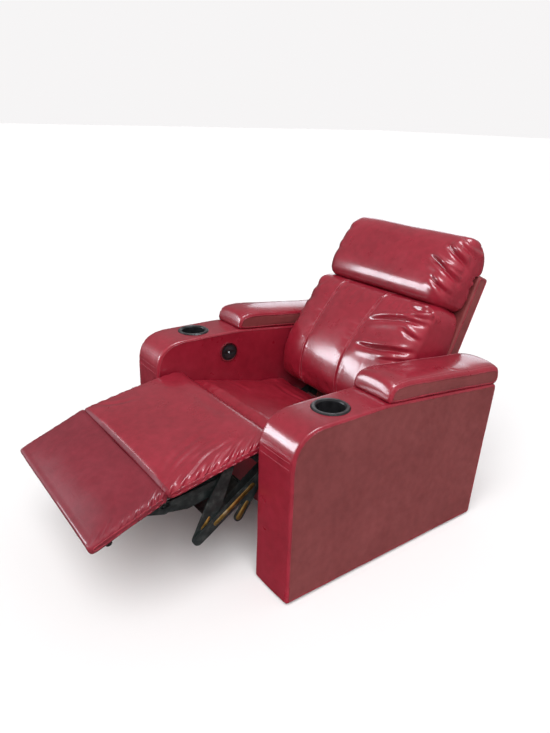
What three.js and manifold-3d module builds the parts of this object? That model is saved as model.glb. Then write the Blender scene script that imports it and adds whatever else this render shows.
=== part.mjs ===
// Cinema recliner seat for one person, in millimetres.
// +Z is up and the sitter faces -Y. The origin lies on the floor under the middle of the part.
// The rest pose has the footrest out and the back reclined.
// A piece named left_ is on the sitter's left hand, at +X.

import * as THREE from 'three';
import { mergeVertices } from 'three/addons/utils/BufferGeometryUtils.js';
import Module from 'manifold-3d';

const wasm = await Module();
wasm.setup();

// Overall layout
const seatGap = 588; // between the two arms
const armFrontY = -230;
const seatedGap = 0.3; // between pieces that are fastened face to face
const cutOverrun = 20; // how far a cutting tool runs past what it cuts

// Arms
const armWidth = 148;
const armTopZ = 520;
const armFlatLength = 325; // level stretch of the arm's top, from the front
const armFrontRadius = 92;
const armTopFall = THREE.MathUtils.degToRad(6); // the arm's top falls towards the rear
const armRearTopY = 578;
const armRearBottomY = 543;
const armEdgeRound = 7;
const armWall = 14; // foam and leather over the frame
const armBoard = 18;
const armFrameClearance = 0.8;
const armPostY = 130;
const glideHeight = 6;
const glideRadius = 17;
const glideInset = 70; // from the arm's front and rear

// Arm pads
const armPadInset = 1; // from the arm's side faces
const armPadLength = 488;
const armPadEdgeHeight = 55;
const armPadCrown = 11;
const armPadRollShare = 0.32; // of its edge height, rounded at both ends

// Cup holders
const cupCentreY = -51;
const cupFlangeRadius = 54;
const cupRadius = 42; // outside of the cup's wall
const cupWall = 2.5;
const cupDepth = 92;
const cupFlangeThickness = 3.5;
const cupHoleClearance = 2.5;
const cupRingWidth = 7;
const cupRingHeight = 1.6;

// Control panel on the sitter's right arm, facing the seat
const panelCentreY = 48;
const panelDrop = 75; // of the panel's centre under the arm's top
const panelRadius = 35;
const panelRimWidth = 4.5;
const panelRimProud = 4;
const panelFaceDepth = 1.5; // face lies this far inside the rim
const panelBodyDepth = 26;
const panelClearance = 0.4;
const buttonRadius = 22;
const buttonGap = 13; // between the two half-round buttons
const buttonThickness = 6;
const buttonProud = 2.6;
const buttonTravel = 2;
const lensRadius = 3.4;
const lensProud = 0.8;

// Seat
const seatFrontY = -138;
const seatEdgeZ = 383; // top edge of the cushion's side at the front
const seatSlope = THREE.MathUtils.degToRad(-13); // falls towards the rear
const seatLength = 432;
const seatHalfWidth = 287;
const seatEdgeThickness = 58;
const seatCrown = 31;
const seatFrontSetback = 14; // foot of the front face behind its top edge
const seatRollShare = 0.22;
const seatCrownFallShare = 0.5; // of the crown that is gone at the seat's rear
const seatRailWidth = 22;
const seatRailHeight = 30;
const springWireRadius = 2.4;
const springCount = 4;
const springBends = 6;
const springBendWidth = 40;
const springDrop = 3; // wires lie this far under the top of the rails
const springTieShares = [1 / 3, 2 / 3]; // places of the cross wires along the springs
const hookHalf = 11; // half of the hooked end that lies along the rail

// Footrest: chaise panel hinged at the front of the seat
const foldPivotY = -175;
const foldPivotZ = 374;
const chaiseSlope = THREE.MathUtils.degToRad(10.4); // falls towards the front
const chaiseHalfWidth = 281;
const chaiseRear = 32; // pad behind the fold pivot
const chaiseLength = 309; // from the fold pivot to the groove before the extension
const chaiseUnder = 24; // underside of the board above the fold pivot
const boardThickness = 12;
const padEdgeHeight = 28; // from the board's underside to the pad's top edge
const chaiseCrown = 15;
const footPadRollShare = 0.3;
const footPadLeadShare = 0.12; // the crown starts this far behind the pad's rear edge
const boardInset = 13; // the pad wraps the board's edges by this much
const boardClearance = 0.5;
const boardRear = -20; // rear edge of the chaise board, in front of the pivot
const foldPinRadius = 5;
const strapThickness = 4;
const strapReach = 52;
const strapEyeRadius = 11;
const strapEndRadius = 8;

// Extension flap at the front of the chaise panel
const flapPivotForward = 312;
const flapPivotUp = -27.7;
const flapSlope = THREE.MathUtils.degToRad(10.1); // more than the chaise panel's
const flapStart = 5;
const flapLength = 206;
const flapUnder = 48.7; // underside of the flap's board above its pivot
const flapCrown = 11;
const flapArmShare = 0.3; // of the flap's length, where the bracket's arm meets it
const flapStripShares = [0.16, 0.72]; // of the flap's length, ends of the bracket's strip
const bumperRadius = 9;
const bumperHeight = 14;
const bumperForward = 158;
const bumperInset = 21;

// Footrest linkage: plates stand side by side, each in its own layer
const plateThickness = 4;
const layerPitch = 5.5;
const seatPlateX = 257.5; // inner face of the seat plate, the outermost layer
const torquePivotY = -162;
const torquePivotZ = 319;
const torqueTubeRadius = 11;
const kneeY = -390;
const kneeZ = 169;
const kneePinRadius = 5;
const kneeRadius = 17;
const kneeEyeClearance = 5.5; // open pivot of the closed linkage
const linkHubRadius = 17;
const linkEndRadius = 14;
const linkPinRadius = 5;
const foldEyeRadius = 12;
const pinClearance = 0.3;
const pinHeadRadius = 8.5;
const pinHeadHeight = 1;
const headGap = 0.25; // between a head and the plate beside it
const kneeHeadRadius = 13;
const upperPivotForward = 119; // on the chaise bracket
const upperPivotUp = 1;
const upperLinkHalfWidth = 15;
const upperLobeShare = 0.5; // of the upper link's length, where it is widest
const upperLobeReach = 4; // behind its centre line
const upperLobeRadius = 25;
const lowerLobeShare = 0.56; // of the lower link's length from the torque tube
const lowerLobeReach = 48; // under its centre line
const lowerLobeRadius = 15;
const lowerHeelShare = 0.16;
const lowerHeelReach = 5;
const bellyForward = 168; // lower corners of the chaise bracket's plate
const bellyFront = 246;
const bellyUp = -48;
const bellyRadius = 18;
const panHalfWidth = 227.5; // dished cross panel between the lower links
const panShares = [0.3, 0.8]; // of the lower link's length
const panHalfDepth = 9;
const panSheet = 3;
const crankRadius = 31.6; // on the upper link, for the pin that drives the flap
const crankAngle = THREE.MathUtils.degToRad(52.1); // from the chaise panel's forward direction
const flapCrankRadius = 14;
const flapCrankAngle = THREE.MathUtils.degToRad(279);
const driveLinkHalfWidth = 8;
const drivePinRadius = 3.5;
const driveSlotInner = 9.4; // lost motion at the flap end of the drive link
const driveSlotOuter = 4.2;
const driveSlotOffset = 1.4;
const driveSlotHalfWidth = 6.6;
const driveSlotWall = 4.5;
const flangeWidth = 28;
const flangeThickness = 3;

// Seat plates and base
const backPivotPast = 52.35; // beyond the seat's rear end, along the seat
const backPivotDrop = 70.86; // under the seat's top edges
const plateBarHalfWidth = 15;
const plateBendShort = 66.45; // ahead of the seat's rear end
const plateBendDrop = 80.84;
const plateNeckY = -110;
const plateNeckZ = 288;
const plateNeckHalfWidth = 12;
const frontLegY = -5;
const rearLegSetback = 18; // in front of the back pivot, as the next three
const legHalfWidth = 15;
const legFootZ = 62;
const baseRailWidth = 25;
const baseRailBottomZ = 45;
const baseRailHeight = 35;
const baseRailFrontY = -28;
const baseRailPast = 27; // behind the back pivot
const crossTubeSize = 25;
const crossTubeBottomZ = 19.7;
const frontTubeY = -8;
const rearTubeSetback = 6;

// Apron behind the footrest linkage
const apronY = -24;
const apronThickness = 3.5;
const apronBottomZ = 14;
const apronTopZ = 262;
const apronSlotHalfWidth = 32;
const apronSlotBottomZ = 160;

// Footrest actuator
const actuatorX = -100;
const actuatorPivotSetback = 18;
const actuatorPivotZ = 150;
const driveEyeY = -131.1;
const driveEyeZ = 206.1;
const leverElbowY = -192.8;
const leverElbowZ = 289.8;
const leverHalfWidth = 8;
const motorRadius = 24;
const motorLength = 92;
const gearboxWidth = 52;
const gearboxHeight = 58;
const gearboxLength = 62;
const actuatorTubeRadius = 16;
const actuatorTubeLength = 262; // from the rear pivot
const actuatorRodRadius = 9;
const rodInsideLength = 120; // rod's inner end from the rear pivot
const rodClearance = 0.5;
const boreBottom = 52; // from the rear pivot
const eyeRadius = 13;
const yokeSlotAlong = 13.4; // lost motion in the yoke at the rod's front end
const yokeSlotDrop = 10.6;
const yokeSlotHalfWidth = 6.7;
const yokeWall = 5;
const yokeLength = 46;
const yokeToShaft = 28;
const eyeThickness = 8;
const leverThickness = 5;
const leverHubRadius = 14;
const leverEyeRadius = 10;
const leverGap = 1.5;
const actuatorPinRadius = 5;

// Back
const backLean = THREE.MathUtils.degToRad(-22.8);
const backHalfWidth = 275;
const backRearOffset = 134; // rear face behind the back pivot, square to the back
const shellThickness = 52;
const shellBottom = 39; // above the back pivot, along the back
const shellTop = 649;
const shellCornerRadius = 26;
const shellEdgeRound = 6;
const lumbarBottom = 112;
const lumbarHeight = 393;
const lumbarDepth = 210;
const lumbarCrown = 26;
const lumbarRollShare = 0.11;
const lumbarFadePower = 3; // how late the crown fades towards the top
const seamShare = 0.33; // seams that part the lumbar cushion into three panels
const seamDepth = 6;
const seamWidthShare = 0.06;
const headrestBottom = 508;
const headrestHeight = 240;
const headrestReach = 184; // from the pillow's rearmost point to its front
const headrestRearInset = 14; // pillow's rearmost point in front of the shell's rear face
const headrestCrown = 12;
const headrestRollShare = 0.12;
const bracketThickness = 4;
const bracketFlangeLow = 44;
const bracketFlangeHigh = 104;
const bracketBarRadius = 14;

// Counts of facets, and unit settings
const curveSegments = 4;
const bevelSegments = 2;
const wireSides = 6;
const swellPower = 3; // how flat a cushion is across its middle
const roundSides = 16;
const cupSides = 32;
const mergeTolerance = 1e-4;
const half = 0.5;

const finishes = {
  leather: { color: 0x8c1c2c, roughness: 0.34, metalness: 0 },
  wood: { color: 0xb59468, roughness: 0.8, metalness: 0 },
  plastic: { color: 0x17171a, roughness: 0.4, metalness: 0 },
  ringGrey: { color: 0x8e8c90, roughness: 0.3, metalness: 0.6 },
  chrome: { color: 0xc9c5c9, roughness: 0.15, metalness: 1 },
  lens: { color: 0xcfe3f0, roughness: 0.1, metalness: 0 },
  steel: { color: 0x23282a, roughness: 0.5, metalness: 0.6 },
  zinc: { color: 0xb08a3c, roughness: 0.4, metalness: 0.8 },
  rubber: { color: 0x141414, roughness: 0.8, metalness: 0 },
};

const group = new THREE.Group();

function add(parent, name, geometry, finish) {
  const material = new THREE.MeshStandardMaterial(finishes[finish]);
  const mesh = new THREE.Mesh(geometry, material);
  mesh.name = name;
  parent.add(mesh);
  return mesh;
}

// Solids from meshes and back

function solidOf(geometry) {
  const bare = geometry.clone();
  bare.deleteAttribute('normal');
  bare.deleteAttribute('uv');
  const merged = mergeVertices(bare, mergeTolerance);
  const vertProperties = new Float32Array(merged.attributes.position.array);
  const triVerts = new Uint32Array(merged.index.array);
  return new wasm.Manifold(new wasm.Mesh({ numProp: 3, vertProperties, triVerts }));
}

function geometryOf(solid) {
  const mesh = solid.getMesh();
  const geometry = new THREE.BufferGeometry();
  geometry.setAttribute('position', new THREE.BufferAttribute(mesh.vertProperties, 3));
  geometry.setIndex(new THREE.BufferAttribute(mesh.triVerts, 1));
  return geometry;
}

const joined = (solids) => solids.reduce((sum, solid) => sum.add(solid));
const cut = (solid, tools) => tools.reduce((rest, tool) => rest.subtract(tool), solid);

// Basic bodies. An outline lies in the YZ plane and is extruded along X.

const acrossX = new THREE.Matrix4().makeBasis(
  new THREE.Vector3(0, 1, 0),
  new THREE.Vector3(0, 0, 1),
  new THREE.Vector3(1, 0, 0),
);
const alongY = new THREE.Matrix4().makeBasis(
  new THREE.Vector3(1, 0, 0),
  new THREE.Vector3(0, 0, 1),
  new THREE.Vector3(0, -1, 0),
);

function extrudeAcross(shape, xLow, xHigh, edgeRound = 0) {
  const geometry = new THREE.ExtrudeGeometry(shape, {
    depth: xHigh - xLow - 2 * edgeRound,
    curveSegments,
    bevelEnabled: edgeRound > 0,
    bevelSize: edgeRound,
    bevelThickness: edgeRound,
    bevelOffset: -edgeRound,
    bevelSegments,
  });
  geometry.translate(0, 0, xLow + edgeRound);
  return geometry.applyMatrix4(acrossX);
}

function box(xLow, xHigh, yLow, yHigh, zLow, zHigh) {
  const geometry = new THREE.BoxGeometry(xHigh - xLow, yHigh - yLow, zHigh - zLow);
  return geometry.translate((xLow + xHigh) * half, (yLow + yHigh) * half, (zLow + zHigh) * half);
}

function rodAcross(radius, xLow, xHigh, y, z, sides = roundSides) {
  const geometry = new THREE.CylinderGeometry(radius, radius, xHigh - xLow, sides);
  geometry.rotateZ(Math.PI * half);
  return geometry.translate((xLow + xHigh) * half, y, z);
}

// A flat bar between two centres, with round ends of two radii
function barShape(from, to, radiusFrom, radiusTo) {
  const along = Math.atan2(to.z - from.z, to.y - from.y);
  const span = Math.hypot(to.y - from.y, to.z - from.z);
  const spread = Math.acos((radiusFrom - radiusTo) / span);
  const shape = new THREE.Shape();
  shape.absarc(to.y, to.z, radiusTo, along - spread, along + spread, false);
  shape.absarc(from.y, from.z, radiusFrom, along + spread, along - spread + 2 * Math.PI, false);
  return shape;
}

const bar = (from, to, radiusFrom, radiusTo, xLow, xHigh) =>
  solidOf(extrudeAcross(barShape(from, to, radiusFrom, radiusTo), xLow, xHigh));

const disc = (centre, radius, xLow, xHigh) =>
  solidOf(rodAcross(radius, xLow, xHigh, centre.y, centre.z));

const at = (y, z) => ({ y, z });

// A place at a share of the way between two others, and off their line by reach.
// On a link that runs forwards and down, a positive reach lies under it.
function beside(from, to, share, reach) {
  const span = Math.hypot(to.y - from.y, to.z - from.z);
  const dy = (to.y - from.y) / span;
  const dz = (to.z - from.z) / span;
  return at(from.y + dy * share * span - dz * reach, from.z + dz * share * span + dy * reach);
}

// Layers of the linkage, counted inwards from the seat plate
const layerX = (layer) => seatPlateX - layer * layerPitch;
const lowerLinkX = layerX(1);
const upperLinkX = layerX(2);
const driveLinkX = layerX(3);
const flapBracketX = layerX(4);
const chaiseBracketX = layerX(5);

// Makes a piece of one side and its mirror image on the other side
function addPair(parent, name, solid, finish) {
  const mirrored = solid.mirror([1, 0, 0]);
  add(parent, `left_${name}`, geometryOf(solid), finish);
  add(parent, `right_${name}`, geometryOf(mirrored), finish);
}

// A body lofted along X through closed outlines that all have the same number of points
function loftAcross(sections) {
  const count = sections[0].outline.length;
  const positions = [];
  for (const section of sections) {
    for (const point of section.outline) {
      positions.push(section.x, point.y, point.z);
    }
  }
  const index = [];
  for (let i = 0; i < sections.length - 1; i += 1) {
    for (let j = 0; j < count; j += 1) {
      const next = (j + 1) % count;
      const a = i * count + j;
      const b = i * count + next;
      index.push(a, b, b + count, a, b + count, a + count);
    }
  }
  const ends = [0, sections.length - 1];
  for (const end of ends) {
    const outline = sections[end].outline;
    const centre = positions.length / 3;
    const middleY = outline.reduce((sum, point) => sum + point.y, 0) / count;
    const middleZ = outline.reduce((sum, point) => sum + point.z, 0) / count;
    positions.push(sections[end].x, middleY, middleZ);
    for (let j = 0; j < count; j += 1) {
      const a = end * count + j;
      const b = end * count + ((j + 1) % count);
      index.push(centre, end === 0 ? b : a, end === 0 ? a : b);
    }
  }
  const geometry = new THREE.BufferGeometry();
  geometry.setAttribute('position', new THREE.Float32BufferAttribute(positions, 3));
  geometry.setIndex(index);
  return geometry;
}

// Cushions: a side outline that swells towards the middle and draws in at both ends
const acrossShares = [
  -1, -0.985, -0.95, -0.84, -0.55, -0.39, -0.33, -0.27, 0,
  0.27, 0.33, 0.39, 0.55, 0.84, 0.95, 0.985, 1,
];
const plainShares = [-1, -0.985, -0.95, -0.84, -0.5, 0, 0.5, 0.84, 0.95, 0.985, 1];
const drawnShare = 0.05; // part of the half width over which the end rounds off

const swell = (share) => 1 - Math.abs(share) ** swellPower;

function drawIn(share) {
  const reach = (Math.abs(share) - (1 - drawnShare)) / drawnShare;
  return reach <= 0 ? 0 : 1 - Math.sqrt(1 - Math.min(1, reach) ** 2);
}

function smoothLoop(points) {
  const corners = points.map((point) => new THREE.Vector3(0, point.y, point.z));
  const curve = new THREE.CatmullRomCurve3(corners, true, 'centripetal');
  const count = 2 * points.length;
  const limits = new THREE.Box3().setFromPoints(corners);
  const loop = [];
  for (let i = 0; i < count; i += 1) {
    const point = limits.clampPoint(curve.getPoint(i / count), new THREE.Vector3());
    loop.push(at(point.y, point.z));
  }
  return loop;
}

const unchanged = (loop) => loop;

// outlineAt gives the corner points of the outline for a swell from 0 at the ends to 1
function cushion(outlineAt, halfWidth, edgeRound, shares, seamAt = () => 0, fitted = unchanged) {
  const sections = shares.map((share) => {
    const loop = fitted(smoothLoop(outlineAt(swell(share), seamAt(share))));
    const lowY = Math.min(...loop.map((point) => point.y));
    const highY = Math.max(...loop.map((point) => point.y));
    const lowZ = Math.min(...loop.map((point) => point.z));
    const highZ = Math.max(...loop.map((point) => point.z));
    const inset = edgeRound * drawIn(share);
    const scaleY = 1 - 2 * inset / (highY - lowY);
    const scaleZ = 1 - 2 * inset / (highZ - lowZ);
    const middleY = (lowY + highY) * half;
    const middleZ = (lowZ + highZ) * half;
    const outline = loop.map((point) => at(
      middleY + (point.y - middleY) * scaleY,
      middleZ + (point.z - middleZ) * scaleZ,
    ));
    return { x: halfWidth * share, outline };
  });
  return loftAcross(sections);
}

// Arms

const armInnerX = seatGap * half;
const armOuterX = armInnerX + armWidth;
const armPadFrontY = armFrontY + armFlatLength;

// Side outline of the arm, moved inwards by inset on all sides but the bottom
function armOutline(inset, bottomZ) {
  const top = armTopZ - inset;
  const front = armFrontY + inset;
  const radius = armFrontRadius - inset;
  const rearTop = armRearTopY - inset;
  const rearBottom = armRearBottomY - inset;
  const rearTopZ = top - (rearTop - armPadFrontY) * Math.tan(armTopFall);
  const shape = new THREE.Shape();
  shape.moveTo(front, bottomZ);
  shape.lineTo(rearBottom, bottomZ);
  shape.lineTo(rearTop, rearTopZ);
  shape.lineTo(armPadFrontY, top);
  shape.lineTo(front + radius, top);
  shape.absarc(front + radius, top - radius, radius, Math.PI * half, Math.PI, false);
  shape.lineTo(front, bottomZ);
  return shape;
}

function verticalRod(radius, x, y, zLow, zHigh, sides = roundSides) {
  const geometry = new THREE.CylinderGeometry(radius, radius, zHigh - zLow, sides);
  geometry.rotateX(Math.PI * half);
  return geometry.translate(x, y, (zLow + zHigh) * half);
}

const armCentreX = (armInnerX + armOuterX) * half;

function armCover() {
  const outline = armOutline(0, glideHeight);
  const outside = solidOf(extrudeAcross(outline, armInnerX, armOuterX, armEdgeRound));
  const hollow = solidOf(
    extrudeAcross(armOutline(armWall, -cutOverrun), armInnerX + armWall, armOuterX - armWall),
  );
  const cupHole = solidOf(verticalRod(
    cupRadius + cupHoleClearance, armCentreX, cupCentreY,
    armTopZ - armWall - cutOverrun, armTopZ + cutOverrun, cupSides,
  ));
  return cut(outside, [hollow, cupHole]);
}

// Box frame of boards inside the cover, open towards both sides, with one upright in the middle
function armFrame() {
  const inset = armWall + armFrameClearance;
  const xLow = armInnerX + inset;
  const xHigh = armOuterX - inset;
  const outside = solidOf(extrudeAcross(armOutline(inset, glideHeight), xLow, xHigh));
  const inside = solidOf(extrudeAcross(
    armOutline(inset + armBoard, glideHeight + armBoard), xLow - cutOverrun, xHigh + cutOverrun,
  ));
  const topAtPost = armTopZ - inset - (armPostY + armBoard - armPadFrontY) * Math.tan(armTopFall);
  const post = solidOf(box(
    xLow, xHigh, armPostY, armPostY + armBoard, glideHeight + armBoard * half,
    topAtPost - armBoard * half,
  ));
  const cupHole = solidOf(verticalRod(
    cupRadius + cupHoleClearance, armCentreX, cupCentreY,
    armTopZ - cupDepth - cutOverrun, armTopZ + cutOverrun,
  ));
  return cut(outside, [inside]).add(post).subtract(cupHole);
}

function armGlides() {
  const places = { front: armFrontY + glideInset, rear: armRearBottomY - glideInset };
  for (const [place, y] of Object.entries(places)) {
    const glide = solidOf(verticalRod(glideRadius, armCentreX, y, 0, glideHeight - seatedGap));
    addPair(group, `${place}_glide`, glide, 'rubber');
  }
}

// Soft pad on the sloping part of the arm's top. Shares run along its length and its height.
const armPadShares = [
  [0.0, 0.12], [0.02, 0.0], [0.3, 0.0], [0.7, 0.0], [0.985, 0.0], [1.0, 0.12],
  [1.0, 0.6], [0.975, 0.88], [0.7, 0.98], [0.35, 1.0], [0.08, 0.97], [0.012, 0.72],
];

function armPad() {
  const outlineAt = (swelling) => armPadShares.map(([along, up]) => {
    const height = armPadEdgeHeight + armPadCrown * swelling;
    return at(along * armPadLength, up > half ? up * height : up * armPadEdgeHeight);
  });
  const roll = armPadEdgeHeight * armPadRollShare;
  return cushion(outlineAt, armWidth * half - armPadInset, roll, plainShares);
}

function armPads() {
  for (const side of [1, -1]) {
    const holder = new THREE.Group();
    holder.position.set(side * armCentreX, armPadFrontY, armTopZ + seatedGap);
    holder.rotation.x = -armTopFall;
    group.add(holder);
    add(holder, side > 0 ? 'left_arm_pad' : 'right_arm_pad', armPad(), 'leather');
  }
}

// Cup holders: thin-walled cups whose flange rests on the arm

function cupProfile() {
  const inner = cupRadius - cupWall;
  const seat = armTopZ + seatedGap;
  const top = seat + cupFlangeThickness;
  const bottom = armTopZ - cupDepth;
  const lip = cupFlangeThickness * half;
  return [
    [0, bottom], [cupRadius - cupWall, bottom], [cupRadius, bottom + cupWall],
    [cupRadius, seat], [cupFlangeRadius, seat], [cupFlangeRadius, seat + lip],
    [cupFlangeRadius - lip, top], [inner + lip, top], [inner, seat + lip * half],
    [inner, bottom + 2 * cupWall], [inner - cupWall, bottom + cupWall], [0, bottom + cupWall],
  ];
}

function turned(profile, x, y, sides) {
  const points = profile.map(([radius, height]) => new THREE.Vector2(radius, height));
  const geometry = new THREE.LatheGeometry(points, sides);
  geometry.rotateX(Math.PI * half);
  return geometry.translate(x, y, 0);
}

function cupRingProfile() {
  const outer = cupFlangeRadius - cupFlangeThickness;
  const inner = outer - cupRingWidth;
  const low = armTopZ + cupFlangeThickness + 2 * seatedGap;
  const high = low + cupRingHeight;
  const round = cupRingHeight * half;
  return [
    [inner, low], [outer, low], [outer, high - round], [outer - round, high],
    [inner + round, high], [inner, high - round], [inner, low],
  ];
}

function cupHolders() {
  const cup = solidOf(turned(cupProfile(), armCentreX, cupCentreY, cupSides));
  addPair(group, 'cup_holder', cup, 'plastic');
  const ring = solidOf(turned(cupRingProfile(), armCentreX, cupCentreY, cupSides));
  addPair(group, 'cup_trim_ring', ring, 'ringGrey');
}

// Control panel: rim, body with two half-round button wells, buttons and a pilot light.
// It sits in the right arm and faces +X, towards the seat.

const panelCentreZ = armTopZ - panelDrop;
const panelFaceX = -armInnerX + panelRimProud - panelFaceDepth;
const panelInnerRadius = panelRadius - panelRimWidth;

function halfRound(radius, gap, sign) {
  const low = gap * half;
  const start = Math.asin(low / radius);
  const shape = new THREE.Shape();
  shape.absarc(0, 0, radius, start, Math.PI - start, false);
  shape.closePath();
  return sign > 0 ? shape : new THREE.Shape(shape.getPoints(curveSegments).map(
    (point) => new THREE.Vector2(-point.x, -point.y),
  ));
}

function buttonSolid(sign, growth, xLow, xHigh) {
  const shape = halfRound(buttonRadius + growth, buttonGap - 2 * growth, sign);
  const geometry = extrudeAcross(shape, xLow, xHigh);
  return solidOf(geometry.translate(0, panelCentreY, panelCentreZ));
}

function controlPanel() {
  const centre = at(panelCentreY, panelCentreZ);
  const wallX = -armInnerX + seatedGap;
  const rim = cut(disc(centre, panelRadius, wallX, -armInnerX + panelRimProud), [
    disc(centre, panelInnerRadius, wallX - cutOverrun, wallX + cutOverrun),
  ]);
  add(group, 'control_rim', geometryOf(rim), 'chrome');
  const wellBottom = panelFaceX + buttonProud - buttonThickness - buttonTravel - panelClearance;
  const bodyRadius = panelInnerRadius - panelClearance;
  const body = cut(disc(centre, bodyRadius, panelFaceX - panelBodyDepth, panelFaceX), [
    buttonSolid(1, panelClearance, wellBottom, panelFaceX + cutOverrun),
    buttonSolid(-1, panelClearance, wellBottom, panelFaceX + cutOverrun),
    disc(centre, lensRadius, panelFaceX - lensRadius, panelFaceX + cutOverrun),
  ]);
  add(group, 'control_body', geometryOf(body), 'plastic');
  const buttonHigh = panelFaceX + buttonProud;
  const buttons = { recline_button: 1, close_button: -1 };
  for (const [name, sign] of Object.entries(buttons)) {
    const button = buttonSolid(sign, 0, buttonHigh - buttonThickness, buttonHigh);
    add(group, name, geometryOf(button), 'plastic');
  }
  const lensBottom = panelFaceX - lensRadius + seatedGap;
  const lens = disc(centre, lensRadius - panelClearance, lensBottom, panelFaceX + lensProud);
  add(group, 'pilot_light', geometryOf(lens), 'lens');
}

// The right arm has a round hole for the control panel's body
function controlHole() {
  return disc(
    at(panelCentreY, panelCentreZ), panelInnerRadius,
    -armInnerX - armWall - cutOverrun, -armInnerX + cutOverrun,
  );
}

function arms() {
  const cover = armCover();
  add(group, 'left_arm_cover', geometryOf(cover), 'leather');
  const holed = cover.mirror([1, 0, 0]).subtract(controlHole());
  add(group, 'right_arm_cover', geometryOf(holed), 'leather');
  addPair(group, 'arm_frame', armFrame(), 'wood');
  armGlides();
  armPads();
}

// Seat: frame rails, springs and cushion share a frame that falls towards the rear

const seat = new THREE.Group();
seat.position.set(0, seatFrontY, seatEdgeZ);
seat.rotation.x = seatSlope;
group.add(seat);

// Shares of the seat's length and of its edge thickness, from the top edge down
const seatShares = [
  [0.03, -1.0], [0.3, -1.0], [0.7, -1.0], [0.985, -1.0], [1.0, -0.8], [1.0, -0.25],
  [0.985, -0.02], [0.75, 0.0], [0.45, 0.0], [0.15, 0.0], [0.015, -0.06], [0.008, -0.5],
];

function seatCushion() {
  const outlineAt = (swelling) => seatShares.map(([along, up]) => {
    const rise = up > -half ? seatCrown * swelling * (1 - along * seatCrownFallShare) : 0;
    return at(along * seatLength, up * seatEdgeThickness + rise);
  });
  return cushion(outlineAt, seatHalfWidth, seatEdgeThickness * seatRollShare, plainShares);
}

const seatFrameHalfWidth = seatPlateX - seatedGap;

function seatFrame() {
  const top = -seatEdgeThickness - seatedGap;
  const low = top - seatRailHeight;
  const inner = seatFrameHalfWidth - seatRailWidth;
  const outside = solidOf(box(
    -seatFrameHalfWidth, seatFrameHalfWidth, seatFrontSetback, seatLength, low, top,
  ));
  const inside = solidOf(box(
    -inner, inner, seatFrontSetback + seatRailWidth, seatLength - seatRailWidth,
    low - cutOverrun, top + cutOverrun,
  ));
  return outside.subtract(inside);
}

// Sinuous springs between the front and rear rails, tied by two cross wires
function seatSprings() {
  const z = -seatEdgeThickness - springDrop - springWireRadius;
  const startY = seatFrontSetback + seatRailWidth + springWireRadius + seatedGap;
  const endY = seatLength - seatRailWidth - springWireRadius - seatedGap;
  const wires = [];
  const section = new THREE.Shape();
  section.absarc(0, 0, springWireRadius, 0, 2 * Math.PI, false);
  const spacing = 2 * (seatFrameHalfWidth - seatRailWidth) / springCount;
  for (let i = 0; i < springCount; i += 1) {
    const x = (i - (springCount - 1) * half) * spacing;
    const points = [];
    const turns = springBends * 2;
    for (let j = 0; j <= turns; j += 1) {
      const swing = j % 2 === 0 ? 0 : (j % 4 === 1 ? half : -half);
      const y = startY + (endY - startY) * j / turns;
      points.push(new THREE.Vector3(x + swing * springBendWidth, y, z));
    }
    const path = new THREE.CatmullRomCurve3(points);
    const wire = new THREE.ExtrudeGeometry(section, {
      steps: turns * 2, extrudePath: path, curveSegments: 2, bevelEnabled: false,
    });
    wires.push(solidOf(wire));
    for (const y of [startY, endY]) {
      wires.push(solidOf(rodAcross(springWireRadius, x - hookHalf, x + hookHalf, y, z, wireSides)));
    }
  }
  const reach = (springCount - 1) * half * spacing + springBendWidth;
  for (const share of springTieShares) {
    const y = startY + (endY - startY) * share;
    wires.push(solidOf(rodAcross(springWireRadius, -reach, reach, y, z, wireSides)));
  }
  return joined(wires);
}

// Seat plates: pressed steel plates that carry every pivot of the linkage, and the back

const torquePivot = at(torquePivotY, torquePivotZ);
const kneePoint = at(kneeY, kneeZ);
const foldPivot = at(foldPivotY, foldPivotZ);

// A place in the seat's own frame, along it from the front and above its top edges
const inSeat = (along, up) => at(
  seatFrontY + along * Math.cos(seatSlope) - up * Math.sin(seatSlope),
  seatEdgeZ + along * Math.sin(seatSlope) + up * Math.cos(seatSlope),
);

const plateBend = inSeat(seatLength - plateBendShort, -plateBendDrop);
const backPivot = inSeat(seatLength + backPivotPast, -backPivotDrop);
const rearLegY = backPivot.y - rearLegSetback;
const rearTubeY = backPivot.y - rearTubeSetback;
const actuatorPivotY = backPivot.y - actuatorPivotSetback;

const plateFall = (plateNeckZ - plateBend.z) / (plateBend.y - plateNeckY);

function seatPlate() {
  const low = seatPlateX;
  const high = seatPlateX + plateThickness;
  const neck = at(plateNeckY, plateNeckZ);
  const frontTop = at(frontLegY, plateNeckZ - (frontLegY - plateNeckY) * plateFall);
  const rearTop = at(rearLegY, backPivot.z);
  const solid = joined([
    bar(torquePivot, neck, plateBarHalfWidth, plateNeckHalfWidth, low, high),
    bar(neck, plateBend, plateNeckHalfWidth, plateBarHalfWidth, low, high),
    bar(plateBend, backPivot, plateBarHalfWidth, plateBarHalfWidth, low, high),
    bar(torquePivot, foldPivot, plateBarHalfWidth, foldEyeRadius, low, high),
    bar(frontTop, at(frontLegY, legFootZ), legHalfWidth, legHalfWidth, low, high),
    bar(rearTop, at(rearLegY, legFootZ), legHalfWidth, legHalfWidth, low, high),
  ]);
  const pierced = [low - cutOverrun, high + cutOverrun];
  return cut(solid, [
    disc(foldPivot, foldPinRadius + pinClearance, ...pierced),
    disc(torquePivot, torqueTubeRadius + pinClearance, ...pierced),
    disc(backPivot, linkPinRadius + pinClearance, ...pierced),
  ]);
}

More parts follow.
